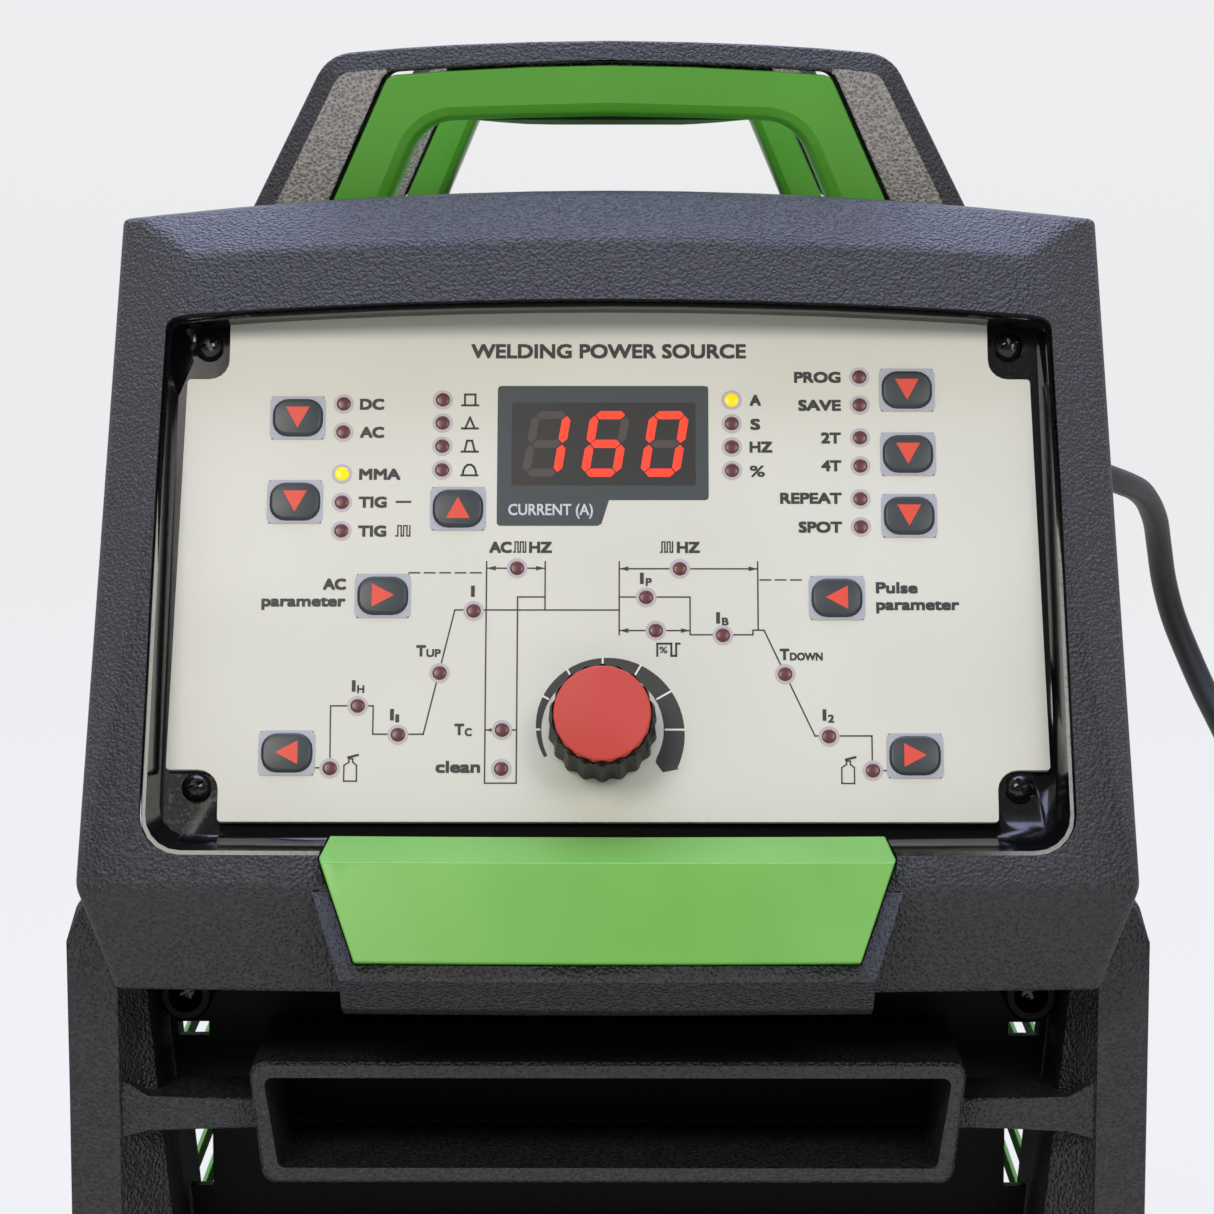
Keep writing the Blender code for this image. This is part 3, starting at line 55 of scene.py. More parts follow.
shot = {"place": (0.0035, -1.045, 0.412), "down": 7.8, "turn": 0.26, "lens": 118.6}


def makeCamera():
    data = bpy.data.cameras.new("productCamera")
    data.lens = shot["lens"]
    data.sensor_width = 36
    data.clip_end = 50
    camera = bpy.data.objects.new("productCamera", data)
    camera.location = shot["place"]
    camera.rotation_euler = (math.radians(90 - shot["down"]), 0, math.radians(shot["turn"]))
    scene.collection.objects.link(camera)
    scene.camera = camera


makeCamera()


def tone(hexText):
    # sRGB hex to linear RGBA
    parts = [int(hexText[i:i + 2], 16) / 255 for i in (1, 3, 5)]
    return [p / 12.92 if p <= 0.04045 else ((p + 0.055) / 1.055) ** 2.4 for p in parts] + [1.0]


def addNode(tree, kind, settings=None, links=None):
    made = tree.nodes.new(kind)
    for key, value in (settings or {}).items():
        if isinstance(key, int) or key in made.inputs:
            made.inputs[key].default_value = value
        else:
            setattr(made, key, value)
    for key, source in (links or {}).items():
        tree.links.new(source, made.inputs[key])
    return made


def startMaterial(name, colour, roughness, **sockets):
    made = bpy.data.materials.new(name)
    made.use_nodes = True
    shader = made.node_tree.nodes["Principled BSDF"]
    shader.inputs["Base Color"].default_value = tone(colour)
    shader.inputs["Roughness"].default_value = roughness
    for key, value in sockets.items():
        shader.inputs[key.replace("_", " ")].default_value = value
    made.diffuse_color = tone(colour)
    return made, made.node_tree, shader


def noise(tree, size, detail=2.0):
    # size is the grain in metres; the noise has about one lump for each unit of its scale
    place = addNode(tree, "ShaderNodeTexCoord")
    return addNode(tree, "ShaderNodeTexNoise", {"Scale": 1 / size, "Detail": detail},
                   {"Vector": place.outputs["Object"]})


def addBump(tree, shader, height, strength, depth):
    bump = addNode(tree, "ShaderNodeBump", {"Strength": strength, "Distance": depth}, {"Height": height})
    tree.links.new(bump.outputs["Normal"], shader.inputs["Normal"])


def vary(tree, socket, source, low, high, spread=(0.35, 0.65)):
    # sends a pattern to a number or colour between low and high
    ramp = addNode(tree, "ShaderNodeValToRGB", {}, {"Fac": source})
    for stop, position, value in zip(ramp.color_ramp.elements, spread, (low, high)):
        stop.position = position
        stop.color = tone(value) if isinstance(value, str) else (value, value, value, 1)
    tree.links.new(ramp.outputs["Color"], socket)


def pebbles(tree, size, share):
    # rounded cells of the etched skin, mixed with finer noise; size is one pebble
    place = addNode(tree, "ShaderNodeTexCoord")
    warp = noise(tree, size * 1.6, 1.0)
    bent = addNode(tree, "ShaderNodeVectorMath", {"operation": "MULTIPLY_ADD", 1: (size, size, size)},
                   {0: warp.outputs["Color"], 2: place.outputs["Object"]})
    cells = addNode(tree, "ShaderNodeTexVoronoi",
                    {"feature": "SMOOTH_F1", "Scale": 1 / size, "Smoothness": 0.35},
                    {"Vector": bent.outputs[0]})
    fine = noise(tree, size * 0.45, 2.0)
    return addNode(tree, "ShaderNodeMath", {"operation": "MULTIPLY_ADD", 1: share},
                   {0: fine.outputs["Fac"], 2: cells.outputs["Distance"]})


def makeTexturedAbs(name="texturedCharcoalAbs", low="#09090A", high="#2B2B2F"):
    # acid-etched ABS moulding: a pebbled skin of 0.75 mm grains, each with its own small glint, from the
    # bumps and from paler pebble tops painted in as highlights
    made, tree, shader = startMaterial(name, "#222226", 0.4, IOR=1.54)
    skin = pebbles(tree, 0.75 * mm, 0.5)
    addBump(tree, shader, skin.outputs[0], 1.0, 0.45 * mm)
    # paler colour on the tops of the pebbles: painted glints, on top of the skin's own tone
    vary(tree, shader.inputs["Base Color"], skin.outputs[0], low, high, (0.45, 0.95))
    vary(tree, shader.inputs["Roughness"], skin.outputs[0], 0.33, 0.5, (0.4, 0.9))
    return made


def makeGlossBlack():
    # polished black moulding with a faint waviness and a little dust
    made, tree, shader = startMaterial("polishedBlackAbs", "#0C0C0D", 0.14, IOR=1.52)
    wave = noise(tree, 9 * mm, 1.0)
    addBump(tree, shader, wave.outputs["Fac"], 0.10, 0.20 * mm)
    dust = noise(tree, 0.8 * mm, 3.0)
    vary(tree, shader.inputs["Roughness"], dust.outputs["Fac"], 0.12, 0.24, (0.5, 0.8))
    return made


def makeMattBlack():
    # fine-grained black nylon for inner parts, the fan and the socket bodies; its near-black base is partly
    # painted shade, to darken the inside of the body
    made, tree, shader = startMaterial("grainedBlackNylonPaintedShade", "#060607", 0.38, IOR=1.2)
    grain = noise(tree, 0.5 * mm, 2.0)
    addBump(tree, shader, grain.outputs["Fac"], 0.35, 0.08 * mm)
    vary(tree, shader.inputs["Roughness"], grain.outputs["Fac"], 0.3, 0.46)
    return made


def makeGreenAbs(name, low, high):
    # self-coloured satin ABS with a very fine skin
    made, tree, shader = startMaterial(name, low, 0.34, IOR=1.52)
    grain = noise(tree, 0.4 * mm, 2.0)
    cloud = noise(tree, 25 * mm, 1.0)
    addBump(tree, shader, grain.outputs["Fac"], 0.22, 0.05 * mm)
    vary(tree, shader.inputs["Base Color"], cloud.outputs["Fac"], low, high)
    return made


def makeGreenCoat():
    # powder coat on sheet steel: soft orange peel about 1.6 mm across
    made, tree, shader = startMaterial("greenPowderCoat", "#55A035", 0.42, IOR=1.5)
    peel = noise(tree, 1.6 * mm, 1.0)
    cloud = noise(tree, 60 * mm, 1.0)
    addBump(tree, shader, peel.outputs["Fac"], 0.28, 0.12 * mm)
    vary(tree, shader.inputs["Base Color"], cloud.outputs["Fac"], "#519B33", "#58A438")
    return made


def makeIvoryFilm():
    # velvet-finish polycarbonate overlay, printed ivory from behind
    made, tree, shader = startMaterial("ivoryVelvetFilm", "#D4D4C8", 0.42, IOR=1.5)
    velvet = noise(tree, 0.3 * mm, 2.0)
    cloud = noise(tree, 40 * mm, 1.0)
    addBump(tree, shader, velvet.outputs["Fac"], 0.16, 0.03 * mm)
    vary(tree, shader.inputs["Base Color"], cloud.outputs["Fac"], "#D2D2C6", "#D6D6CB")
    return made


def makeFilm(name, colour, roughness):
    # flat colour of a print, film or smooth moulding, broken up by a fine velvet skin
    made, tree, shader = startMaterial(name, colour, roughness, IOR=1.58)
    velvet = noise(tree, 0.3 * mm, 2.0)
    addBump(tree, shader, velvet.outputs["Fac"], 0.16, 0.03 * mm)
    return made


def makeGlow(name, colour, lamp, strength):
    # clear lens or segment with its lamp lit behind it
    made, _, shader = startMaterial(name, colour, 0.25)
    shader.inputs["Emission Color"].default_value = tone(lamp)
    shader.inputs["Emission Strength"].default_value = strength
    return made


def makeRedCap():
    # moulded red knob cap with a fine spark finish
    made, tree, shader = startMaterial("sparkedRedAbs", "#C03A31", 0.5, IOR=1.5)
    grain = noise(tree, 0.3 * mm, 2.0)
    addBump(tree, shader, grain.outputs["Fac"], 0.4, 0.04 * mm)
    return made


def makeMetal(name, colour, roughness, grainSize, turned=False):
    # machined or rolled metal: fine lines stretched along one way
    made, tree, shader = startMaterial(name, colour, roughness, Metallic=1.0)
    place = addNode(tree, "ShaderNodeTexCoord")
    squash = addNode(tree, "ShaderNodeMapping", {"Scale": (1, 0.05, 1) if turned else (0.05, 1, 1)},
                     {"Vector": place.outputs["Object"]})
    lines = addNode(tree, "ShaderNodeTexNoise", {"Scale": 1 / grainSize, "Detail": 3.0},
                    {"Vector": squash.outputs["Vector"]})
    vary(tree, shader.inputs["Roughness"], lines.outputs["Fac"], roughness * 0.8, roughness * 1.35)
    addBump(tree, shader, lines.outputs["Fac"], 0.15, 0.03 * mm)
    return made


def makeRubber():
    # moulded rubber of the lead and feet, slightly chalky
    made, tree, shader = startMaterial("blackRubber", "#1B1B1C", 0.55, IOR=1.5)
    grain = noise(tree, 0.6 * mm, 2.0)
    addBump(tree, shader, grain.outputs["Fac"], 0.25, 0.06 * mm)
    vary(tree, shader.inputs["Roughness"], grain.outputs["Fac"], 0.45, 0.62)
    return made


looks = {
    "textured_charcoal": makeTexturedAbs(),
    "gloss_black": makeGlossBlack(),
    "matt_black": makeMattBlack(),
    "green_plastic": makeGreenAbs("satinGreenAbs", "#549F31", "#5AA637"),
    "green_paint": makeGreenCoat(),
    "ivory_laminate": makeIvoryFilm(),
    "red_plastic": makeRedCap(),
    "slate_film": makeFilm("slateKeyFilm", "#262F33", 0.38),
    "brass": makeMetal("turnedBrass", "#C9A35A", 0.26, 0.25 * mm, True),
    "zinc_steel": makeMetal("zincPlatedSteel", "#B9BBC0", 0.3, 0.3 * mm, True),
    "aluminium": makeMetal("extrudedAluminium", "#C4C6CA", 0.38, 0.4 * mm),
    "copper_winding": makeMetal("enamelledCopper", "#A4552C", 0.33, 0.5 * mm),
    "rubber": makeRubber(),
    "circuit_board": makeFilm("solderMask", "#1F6B3C", 0.4),
    "blue_plastic": makeFilm("bluePlugNylon", "#1F56A8", 0.38),
}
finishes = {
    # the badge is the same green moulding made paler: painted light from the front lamps
    "badge": makeGreenAbs("greenAbsPaintedLight", "#69AD45", "#70B44C"),
    # paler etched skin for the handle posts' flat faces: painted sheen of the lamps
    "paintedSheenPatch": makeTexturedAbs("etchedAbsPaintedSheen", "#716C6B", "#A39E9C"),
    # near-black connector panel: painted shade, for the lower front that lies in shade
    "connector_panel": makeFilm("blackAbsPaintedShade", "#040405", 0.5),
    "rear_panel": makeFilm("blackPowderCoat", "#151516", 0.48),
}
inks = {
    "black": makeFilm("blackPrint", "#1D1D1C", 0.45),
    "white": makeFilm("whitePrint", "#E6E5DC", 0.42),
    "frameGrey": makeFilm("greyKeyFrame", "#A9ACB6", 0.4),
    "red": makeFilm("redPrint", "#DE3F27", 0.4),
    "ring": makeFilm("paleRingPrint", "#B7B0B4", 0.42),
    "lens": makeFilm("darkRedLens", "#5E2E2D", 0.3),
    "lensLit": makeGlow("yellowLampLit", "#E8CF12", "#F6D80F", 0.35),
    "slate": makeFilm("slatePrint", "#2E383D", 0.4),
    "caption": makeFilm("palePrintOnSlate", "#C4CBCF", 0.42),
    "lensDark": makeFilm("smokedLens", "#262626", 0.3),
    "segmentOff": makeFilm("unlitSegment", "#3E3533", 0.4),
    "segmentOn": makeGlow("segmentLit", "#F0402A", "#FF3220", 0.85),
}
print("materials made")


# Pieces from the frame get edges that catch light. This is the width of the rounded edge in mm, by node.
edgeWidth = {
    "default": 0.4, "control_housing": 0.0, "front_frame": 0.6, "rear_frame": 0.8, "handle_grip": 0.0,
    "handle_front_arch": 0.8, "handle_rear_arch": 0.8, "handle_front_liner": 0.5, "handle_rear_liner": 0.5,
    "cover": 0.25, "panel_plate": 0.2, "panel_tray": 0.0, "knob_skirt": 0.25,
    "control_board": 0.1, "power_board": 0.1, "rear_panel": 0.3,
}


def addPiece(name, bm, material, body="machine", smooth=35):
    mesh = bpy.data.meshes.new(name)
    bm.to_mesh(mesh)
    bm.free()
    mesh.shade_smooth()
    mesh.set_sharp_from_angle(angle=math.radians(smooth))
    mesh.materials.append(material)
    piece = bpy.data.objects.new(name, mesh)
    scene.collection.objects.link(piece)
    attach(piece, body)
    return piece


def paintSheenPatch(bm):
    # the flat front and back faces of the handle's posts get a paler etched material: painted sheen, the
    # lamps' light painted onto these faces
    edge = 48.6 * mm
    for side in (-edge, edge):
        bmesh.ops.bisect_plane(bm, geom=bm.verts[:] + bm.edges[:] + bm.faces[:],
                               plane_co=(side, 0, 0), plane_no=(1, 0, 0))
    bm.normal_update()
    for face in bm.faces:
        if abs(face.normal.y) > 0.99 and abs(face.calc_center_median().x) > edge:
            face.material_index = 1


def softenNode(name, slot):
    width = edgeWidth.get(name, edgeWidth["default"]) * mm
    bm = bmesh.new()
    bm.from_mesh(frame["nodes"][name].data)
    bmesh.ops.remove_doubles(bm, verts=bm.verts, dist=0.004 * mm)
    bmesh.ops.dissolve_limit(bm, angle_limit=math.radians(0.5), verts=bm.verts, edges=bm.edges)
    if name.endswith("_arch"):
        paintSheenPatch(bm)
    piece = addPiece(name + "_soft", bm, finishes.get(name, looks[slot]), bodyOf[name], 30)
    if name.endswith("_arch"):
        # second material: the painted sheen on the posts' flat faces
        piece.data.materials.append(finishes["paintedSheenPatch"])
    if width:
        bevel = piece.modifiers.new("edges", "BEVEL")
        bevel.width = width
        bevel.segments = 2
        bevel.limit_method = "ANGLE"
        bevel.angle_limit = math.radians(32)
        bevel.harden_normals = True
    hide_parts(name)


slotOf = {item["node"]: item["material_slot"] for item in frame["record"]["subparts"]}
remade = {"display_window", "mains_cord", "cord_coil"}
remade |= {name for name in slotOf if name.startswith(("panel_screw", "frame_screw", "key_"))}
for nodeName, slotName in slotOf.items():
    if nodeName not in remade:
        softenNode(nodeName, slotName)
print("frame pieces softened")


# The panel's artwork is drawn in mm: x across the panel, y up it, z out of it.

panelLayout = {"origin": (0, -222.7, 299.4), "tilt": 23}
panelMatrix = (Matrix.Translation(Vector(panelLayout["origin"]) * mm)
               @ Matrix.Rotation(math.radians(90 - panelLayout["tilt"]), 4, "X") @ Matrix.Scale(mm, 4))


def addPanelPiece(name, bm, material, body="machine", smooth=35):
    bmesh.ops.transform(bm, matrix=panelMatrix, verts=bm.verts)
    bmesh.ops.recalc_face_normals(bm, faces=bm.faces)
    return addPiece(name, bm, material, body, smooth)


def addSlab(bm, outline, low, high):
    # an outline made a closed slab between two heights
    bottom = [bm.verts.new((x, y, low)) for x, y in outline]
    face = bm.faces.new(bottom)
    grown = bmesh.ops.extrude_face_region(bm, geom=[face])
    bmesh.ops.translate(bm, verts=[g for g in grown["geom"] if isinstance(g, bmesh.types.BMVert)],
                        vec=(0, 0, high - low))


def roundedBox(x, y, width, height, radius, steps=5):
    points = []
    for quarter, (sx, sy) in enumerate(((1, 1), (-1, 1), (-1, -1), (1, -1))):
        for step in range(steps + 1):
            angle = math.pi / 2 * (quarter + step / steps)
            points.append((x + sx * (width / 2 - radius) + radius * math.cos(angle),
                           y + sy * (height / 2 - radius) + radius * math.sin(angle)))
    return points


def circle(x, y, radius, steps=24):
    return [(x + radius * math.cos(math.tau * i / steps), y + radius * math.sin(math.tau * i / steps))
            for i in range(steps)]


def turned(corners, x, y, angle):
    # an outline turned about its own zero and set down at x, y
    return [(x + px * math.cos(angle) - py * math.sin(angle), y + px * math.sin(angle) + py * math.cos(angle))
            for px, py in corners]


def addRing(bm, outer, inner, low, high):
    # a flat ring between two outlines that have the same count
    rows = [[bm.verts.new((x, y, z)) for x, y in outline]
            for outline, z in ((outer, low), (outer, high), (inner, high), (inner, low))]
    for one, two in zip(rows, rows[1:] + rows[:1]):
        for i in range(len(one)):
            j = (i + 1) % len(one)
            bm.faces.new((one[i], one[j], two[j], two[i]))


def addLine(bm, points, width, low=0.01, high=0.05):
    for (xa, ya), (xb, yb) in zip(points, points[1:]):
        along = Vector((xb - xa, yb - ya))
        along.normalize()
        side = Vector((-along.y, along.x)) * width / 2
        along *= width / 2
        outline = [(xa - along.x - side.x, ya - along.y - side.y),
                   (xb + along.x - side.x, yb + along.y - side.y),
                   (xb + along.x + side.x, yb + along.y + side.y),
                   (xa - along.x + side.x, ya - along.y + side.y)]
        addSlab(bm, outline, low, high)


lampPlaces = {
    "lit": [(-55.8, 28.8), (25.9, 45.1)],
    "plain": [(-55.7, 44.2), (-55.7, 38.0), (-55.7, 22.6), (-55.7, 16.4),
              (-34.85, 45.1), (-34.85, 40.0), (-34.85, 34.9), (-34.85, 29.7),
              (25.9, 39.9), (25.9, 34.75), (25.9, 29.6),
              (52.85, 50.2), (52.85, 44.0), (52.8, 36.8), (52.8, 30.6), (52.7, 23.4), (52.7, 17.3)],
    "graph": [(-57.1, -34.4), (-51.6, -21.2), (-43.2, -27.3), (-34.8, -14.2), (-27.9, -0.9),
              (-21.8, -26.3), (-21.9, -34.5), (-18.95, 8.3), (7.9, 2.05), (9.9, -5.1),
              (14.9, 8.2), (23.8, -6.1), (36.6, -14.4), (45.5, -27.6), (54.4, -34.8)],
}
lampSize = {"lens": 1.5, "ring": 2.15}


def makeLamps():
    rings, lenses, lit = bmesh.new(), bmesh.new(), bmesh.new()
    for group, places in lampPlaces.items():
        for x, y in places:
            addRing(rings, circle(x, y, lampSize["ring"]),
                    circle(x, y, lampSize["lens"] - 0.1), 0.01, 0.06)
            target = lit if group == "lit" else lenses
            made = bmesh.ops.create_uvsphere(target, u_segments=24, v_segments=8, radius=lampSize["lens"])
            bmesh.ops.scale(target, verts=made["verts"], vec=(1, 1, 0.16))
            bmesh.ops.translate(target, verts=made["verts"], vec=(x, y, 0.06))
    addPanelPiece("lamp_rings", rings, inks["ring"])
    addPanelPiece("lamp_lenses", lenses, inks["lens"])
    addPanelPiece("lamp_lenses_lit", lit, inks["lensLit"])


keyPlaces = {  # centre, and the way that the arrow points in quarter turns from right
    "key_output": (-65.3, 41.1, 3), "key_process": (-65.5, 22.7, 3), "key_waveform": (-31.4, 21.2, 1),
    "key_memory": (62.8, 47.3, 3), "key_trigger": (62.8, 33.2, 3), "key_spot": (62.8, 19.7, 3),
    "key_ac_parameter": (-46.8, 2.3, 0), "key_pulse_parameter": (47.5, 1.9, 2),
    "key_step_left": (-66.0, -31.2, 2), "key_step_right": (63.1, -31.7, 0),
}
keyForm = {"width": 10.5, "height": 8.2, "corner": 3.3, "proud": 0.8, "depth": 8.0,
           "frameWidth": 11.7, "frameHeight": 9.5, "frameCorner": 1.3, "arrow": 2.5}


def makeKeys():
    f = keyForm
    frames = bmesh.new()
    for name, (x, y, turn) in keyPlaces.items():
        addRing(frames, roundedBox(x, y, f["frameWidth"], f["frameHeight"], f["frameCorner"]),
                roundedBox(x, y, f["width"] + 0.1, f["height"] + 0.1, f["corner"]), 0.01, 0.16)
        pad = bmesh.new()
        addSlab(pad, roundedBox(x, y, f["width"], f["height"], f["corner"], 8), -f["depth"], f["proud"])
        rim = [e for e in pad.edges if all(v.co.z > 0 for v in e.verts)]
        bmesh.ops.bevel(pad, geom=rim, offset=0.7, segments=4, profile=0.5, affect="EDGES", material=-1)
        made = addPanelPiece(name + "_pad", pad, looks["slate_film"], name, 60)
        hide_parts(name)
        arrow = bmesh.new()
        size = f["arrow"]
        corners = [(size * 0.95, 0), (-size * 0.9, size), (-size * 0.9, -size)]
        addSlab(arrow, turned(corners, x, y, math.pi / 2 * turn), f["proud"] - 0.01, f["proud"] + 0.04)
        addPanelPiece(name + "_arrow", arrow, inks["red"], name)
    addPanelPiece("key_frames", frames, inks["frameGrey"])


graphLines = [
    [(-57.1, -32.6), (-57.2, -21.2), (-48.4, -21.2), (-48.4, -27.2), (-38.0, -27.2), (-31.8, -0.7),
     (2.3, -0.7)],
    [(-25.3, 9.7), (-25.3, -37.5), (-18.8, -37.5), (-18.8, 2.1), (-13.1, 2.1)],
    [(-13.1, 9.7), (-13.1, -0.7)], [(-25.3, 8.3), (-13.1, 8.3)], [(-25.3, -26.3), (-18.8, -26.3)],
    [(2.3, 9.7), (2.3, -6.0)], [(2.3, 8.2), (31.1, 8.2)], [(31.1, 9.7), (31.1, -5.0)],
    [(2.3, 2.1), (17.0, 2.1), (17.0, -6.0), (30.0, -6.0), (30.0, -5.0), (32.3, -5.0), (42.6, -27.5),
     (54.3, -27.5), (54.3, -33.6)],
    [(2.3, -5.1), (17.0, -5.1)], [(-60.3, -34.3), (-58.7, -34.3)], [(55.8, -34.8), (57.5, -34.8)],
]
dashedLines = [((-41.4, 7.3), (-25.4, 7.3)), ((31.6, 5.8), (41.1, 5.8))]
arrowEnds = [(-25.3, 8.3, 180), (-13.1, 8.3, 0), (-25.3, -26.3, 180), (-18.8, -26.3, 0), (2.3, 8.2, 180),
             (31.1, 8.2, 0), (2.3, -5.1, 180), (17.0, -5.1, 0)]
arrowHead = [(0, 0), (-1.9, 0.5), (-1.9, -0.5)]
pulseCorners = [(-1.3, -1.1), (-1.0, -1.1), (-1.0, 1.1), (-0.4, 1.1), (-0.4, -1.1), (0.1, -1.1),
                (0.1, 1.1), (0.7, 1.1), (0.7, -1.1), (1.2, -1.1), (1.2, 1.1)]
waveIcons = [  # corner points of each small sign, from its centre
    (-29.1, 45.1, [(-1.1, -1.2), (-1.1, 1.2), (1.1, 1.2), (1.1, -1.2)]),
    (-29.1, 40.0, [(-1.0, -1.2), (0, 1.2), (1.0, -1.2)]),
    (-29.1, 34.9, [(-1.1, -1.2), (-0.55, 1.2), (0.5, 1.2), (1.1, -1.2)]),
    (-29.1, 29.7, [(-1.4, -1.2), (-1.3, -0.3), (-0.95, 0.6), (-0.4, 1.1), (0.4, 1.1), (0.95, 0.6),
                   (1.3, -0.3), (1.4, -1.2)]),
    (-29.1, 43.9, [(-1.7, 0), (1.7, 0)]), (-29.1, 38.8, [(-1.7, 0), (1.7, 0)]),
    (-29.1, 33.7, [(-1.7, 0), (1.7, 0)]), (-29.1, 28.5, [(-1.7, 0), (1.7, 0)]),
    (-42.8, 16.4, [(-1.5, -1.1), (-1.1, -1.1), (-1.1, 1.1), (-0.4, 1.1), (-0.4, -1.1), (0.1, -1.1),
                   (0.1, 1.1), (0.8, 1.1), (0.8, -1.1), (1.4, -1.1), (1.4, 1.1)]),
    (-42.8, 22.7, [(-1.4, 0), (1.4, 0)]),
    (-18.4, 12.9, pulseCorners), (12.2, 12.9, pulseCorners),
    (12.4, -9.2, [(-2.2, -1.3), (-2.2, 1.3), (0.7, 1.3), (0.7, -1.3), (1.7, -1.3), (1.7, 1.3), (2.4, 1.3)]),
]
lineForm = {"graph": 0.3, "icon": 0.44, "dash": 2.15, "dashPitch": 3.2}


def makeGraph():
    bm = bmesh.new()
    for points in graphLines:
        addLine(bm, points, lineForm["graph"])
    for (xa, y), (xb, _) in dashedLines:
        count = round((xb - xa) / lineForm["dashPitch"])
        for dash in range(count):
            start = xa + (xb - xa) * dash / count
            addLine(bm, [(start, y), (start + lineForm["dash"], y)], lineForm["graph"])
    for x, y, way in arrowEnds:
        addSlab(bm, turned(arrowHead, x, y, math.radians(way)), 0.01, 0.055)
    for x, y, points in waveIcons:
        # the pulse signs have many corners, and thinner lines
        width = lineForm["graph"] if len(points) > 8 else lineForm["icon"]
        addLine(bm, [(x + px, y + py) for px, py in points], width)
    for x, y in ((-52.9, -34.5), (49.3, -34.9)):
        # gas bottle with its valve
        bottle = [(x - 1.3, y - 2.6), (x + 1.3, y - 2.6), (x + 1.3, y + 0.7), (x + 0.5, y + 1.4),
                  (x + 0.5, y + 2.1), (x - 0.3, y + 2.1), (x - 0.3, y + 1.4), (x - 1.3, y + 0.7),
                  (x - 1.3, y - 2.6)]
        addLine(bm, bottle, lineForm["graph"])
        addLine(bm, [(x - 0.4, y + 2.4), (x + 1.5, y + 2.9)], 0.5)
    addPanelPiece("panel_graph", bm, inks["black"])


# text, x of its left or right end, y of its middle, capital height, width, side that x is on, and how far
# the copies that make it bold are moved
labels = [
    ("WELDING POWER SOURCE", -29.0, 56.0, 3.4, 58.0, "left", 0.15),
    ("DC", -52.3, 44.2, 2.6, 5.1, "left", 0.15), ("AC", -52.2, 38.0, 2.6, 5.1, "left", 0.15),
    ("MMA", -52.2, 28.8, 2.6, 8.7, "left", 0.15), ("TIG", -52.2, 22.7, 2.6, 5.9, "left", 0.15),
    ("TIG", -52.2, 16.4, 2.6, 5.9, "left", 0.15),
    ("A", 29.7, 45.1, 2.6, 2.4, "left", 0.15), ("S", 29.8, 39.8, 2.6, 2.1, "left", 0.15),
    ("HZ", 29.6, 34.8, 2.6, 4.8, "left", 0.15), ("%", 29.6, 29.5, 2.6, 3.2, "left", 0.08),
    ("PROG", 48.9, 50.2, 2.6, 9.8, "right", 0.15), ("SAVE", 48.9, 44.0, 2.6, 9.0, "right", 0.15),
    ("2T", 48.8, 36.8, 2.6, 4.2, "right", 0.15), ("4T", 48.8, 30.7, 2.6, 4.2, "right", 0.15),
    ("REPEAT", 48.8, 23.6, 2.6, 12.9, "right", 0.15), ("SPOT", 48.8, 17.3, 2.6, 9.1, "right", 0.15),
    ("AC", -24.8, 12.9, 2.6, 4.7, "left", 0.15), ("HZ", -16.5, 12.9, 2.6, 4.8, "left", 0.15),
    ("HZ", 14.3, 12.9, 2.6, 4.8, "left", 0.15),
    ("AC", -54.5, 4.9, 2.6, 4.8, "right", 0.15), ("parameter", -54.5, 1.3, 2.6, 17.5, "right", 0.15),
    ("Pulse", 55.6, 4.2, 2.6, 8.7, "left", 0.15), ("parameter", 55.6, 0.6, 2.6, 17.3, "left", 0.15),
    ("I", -28.5, 3.4, 2.6, 0.8, "left", 0.15), ("I", 6.6, 6.2, 2.6, 0.8, "left", 0.15),
    ("P", 7.8, 5.4, 1.8, 1.3, "left", 0.09), ("I", 22.4, -2.3, 2.6, 0.8, "left", 0.15),
    ("B", 23.6, -3.1, 1.8, 1.4, "left", 0.09), ("I", -52.9, -16.9, 2.6, 0.8, "left", 0.15),
    ("H", -51.8, -17.6, 1.8, 1.5, "left", 0.09), ("I", -44.9, -23.0, 2.6, 0.8, "left", 0.15),
    ("1", -43.8, -23.8, 1.8, 0.8, "left", 0.09), ("T", -39.7, -9.4, 2.6, 2.0, "left", 0.15),
    ("UP", -37.6, -9.9, 1.8, 3.0, "left", 0.09), ("T", 35.5, -10.1, 2.6, 2.0, "left", 0.15),
    ("DOWN", 37.6, -10.6, 1.8, 6.8, "left", 0.09), ("I", 44.2, -23.0, 2.6, 0.8, "left", 0.15),
    ("2", 45.3, -23.8, 1.8, 1.3, "left", 0.09), ("T", -31.6, -26.1, 2.6, 2.0, "left", 0.15),
    ("C", -29.5, -26.7, 1.8, 1.5, "left", 0.09), ("clean", -35.4, -34.0, 2.7, 9.2, "left", 0.15),
    ("%", 10.6, -9.2, 1.5, 1.7, "left", 0.04),
]


def textMesh(text):
    data = bpy.data.curves.new("lettering", "FONT")
    data.body = text
    data.size = 1
    data.extrude = 0.02
    data.resolution_u = 3
    holder = bpy.data.objects.new("lettering", data)
    scene.collection.objects.link(holder)
    bpy.context.view_layer.update()
    mesh = bpy.data.meshes.new_from_object(holder.evaluated_get(bpy.context.evaluated_depsgraph_get()))
    bpy.data.objects.remove(holder)
    return mesh


capitalHeight = 0.729   # the built-in font's capitals at size 1


